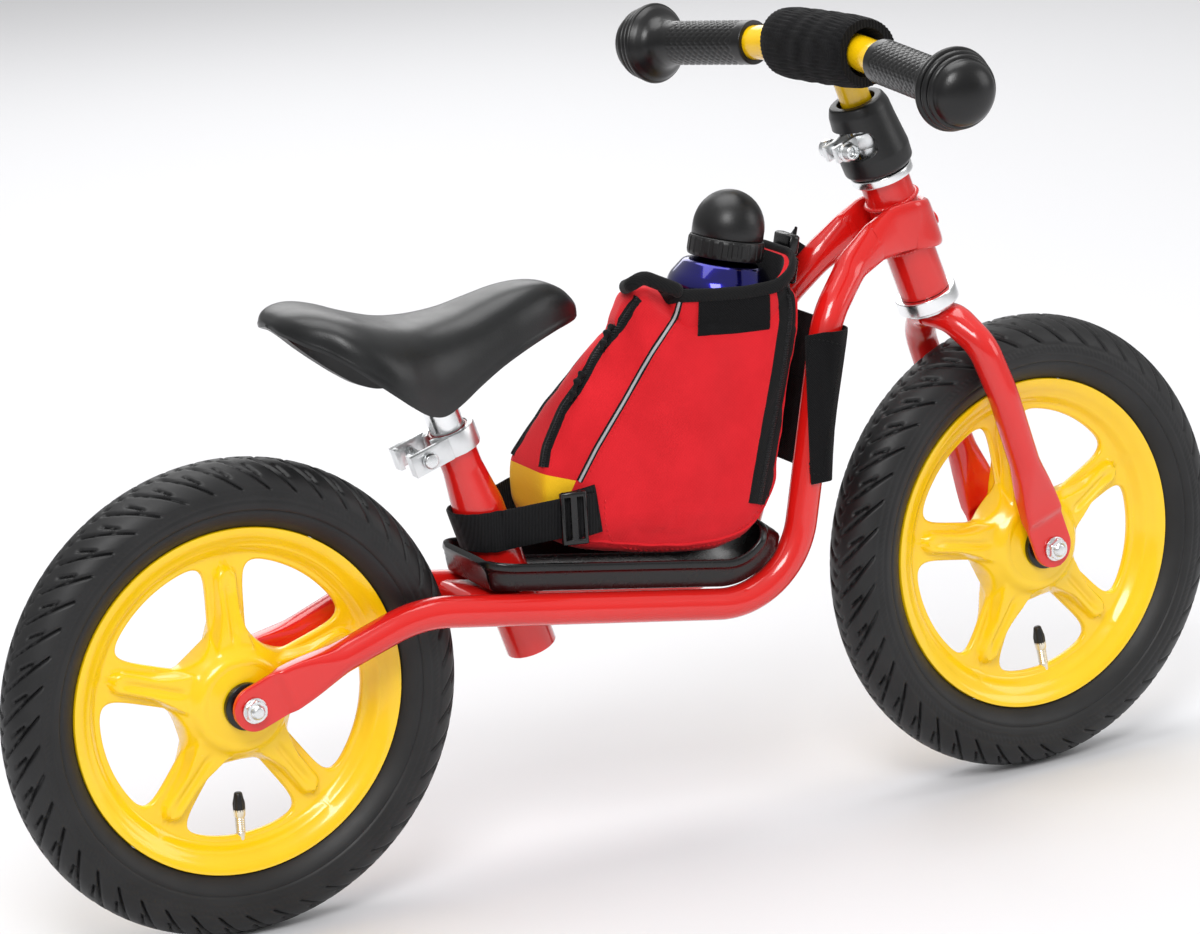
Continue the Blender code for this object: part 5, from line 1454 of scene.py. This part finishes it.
def band(name, cadNode, path, half, thick, wideAxis, material, slot):
    # a woven band with rounded edges along a line; its faces waver by a few hundredths
    path = resample(np.array(path, float), 1.5)
    run = runLength(path)
    tall = thick * (1 + 0.06 * np.sin(run * 0.7) + 0.04 * np.sin(run * 1.9 + 1.0))
    rings = sweep(path, half, tall, 5.0, 48, wideAxis)
    return makePiece(name, place(rings), quads(len(rings), 48, False, True), material, 50.0,
                     "frame", slot, (cadNode,))


def bands():
    s = seatStrapPath
    turn = np.radians(np.linspace(-80, -280, 11))
    back = np.stack([s["x"] + s["radius"] * s["stretch"] * np.cos(turn),
                     s["radius"] * np.sin(turn), np.full(11, s["height"])], 1)
    front = np.array(s["front"])
    seatLine = np.concatenate([front * (1, -1, 1), back, front[::-1]])
    band("seatStrap", "seat_strap", seatLine, 13.0, 0.8, seatUp, webbing, "webbing")
    buckleLine = splineThrough(frameStrapPath, np.linspace(0, len(frameStrapPath) - 1, 41))
    band("frameStrap", "frame_strap", buckleLine, 9.5, 0.8, (0.25, 0, 1), webbing, "webbing")
    w = wrapPath
    turn = np.radians(np.linspace(0, 90, 9))
    near = np.stack([w["out"] * np.sin(turn), w["tube"] + w["out"] * np.cos(turn)], 1)
    near = np.concatenate([[w["back"]], near, [(w["out"], w["tube"] / 2)]])
    flat = np.concatenate([near, near[::-1] * (1, -1)])
    wrapLine = np.stack([w["x"] + w["slope"] * w["middle"] + flat[:, 0], flat[:, 1],
                         np.full(len(flat), w["middle"])], 1)
    band("tubeWrap", "tube_wrap", wrapLine, w["half"], 1.0, (w["slope"], 0, 1), loopPile,
         "pad_fabric")


def straps():
    pieces = bpy.data.objects
    bands()
    eased("strapSlider", "strap_slider", pianoBlack, "frame", "gloss_plastic", 0.6)
    wrap = pieces["tubeWrap"].data
    tree = BVHTree.FromPolygons([v.co.copy() for v in wrap.vertices],
                                [tuple(p.vertices) for p in wrap.polygons])
    border = ((400, 166.5), (411, 162.5), (402, 120), (394, 81), (384, 84), (373, 88),
              (382, 130), (390, 169.5), (400, 166.5))
    stitches("wrapStitch", tree, border, blackTape, 2.2, 1.2, 0.45, 2.0)


def badge():
    # a plain painted oval on the front of the head loop, slightly domed, with a raised rim
    def oval(turn, height, radius):
        return -0.28 * radius * np.cos(turn) ** 2
    line = [(0, 0.7), (3.5, 0.6), (5.6, 0.3), (6.0, 0.6), (6.8, 0.7), (7.3, 0.4), (7.4, -1.0),
            (0, -1.0)]
    line = filletPath(line, (4.0, 1.0, 0.2, 0.4, 0.3, 0.2), 0.3)
    points = revolve(line, headPoints(47.0, 22.4), headForward, 96, oval)
    makePiece("headBadge", points, quads(len(line), 96, False, True), paintRed, 40.0, "frame",
              "frame_red")


frameMetal()
print("frame tubes made")
wheels()
print("wheels made")
easedPieces()
handlebar()
barPad()
saddle()
footboard()
bottle()
print("fittings made")
bag()
straps()
badge()
print("bag made")
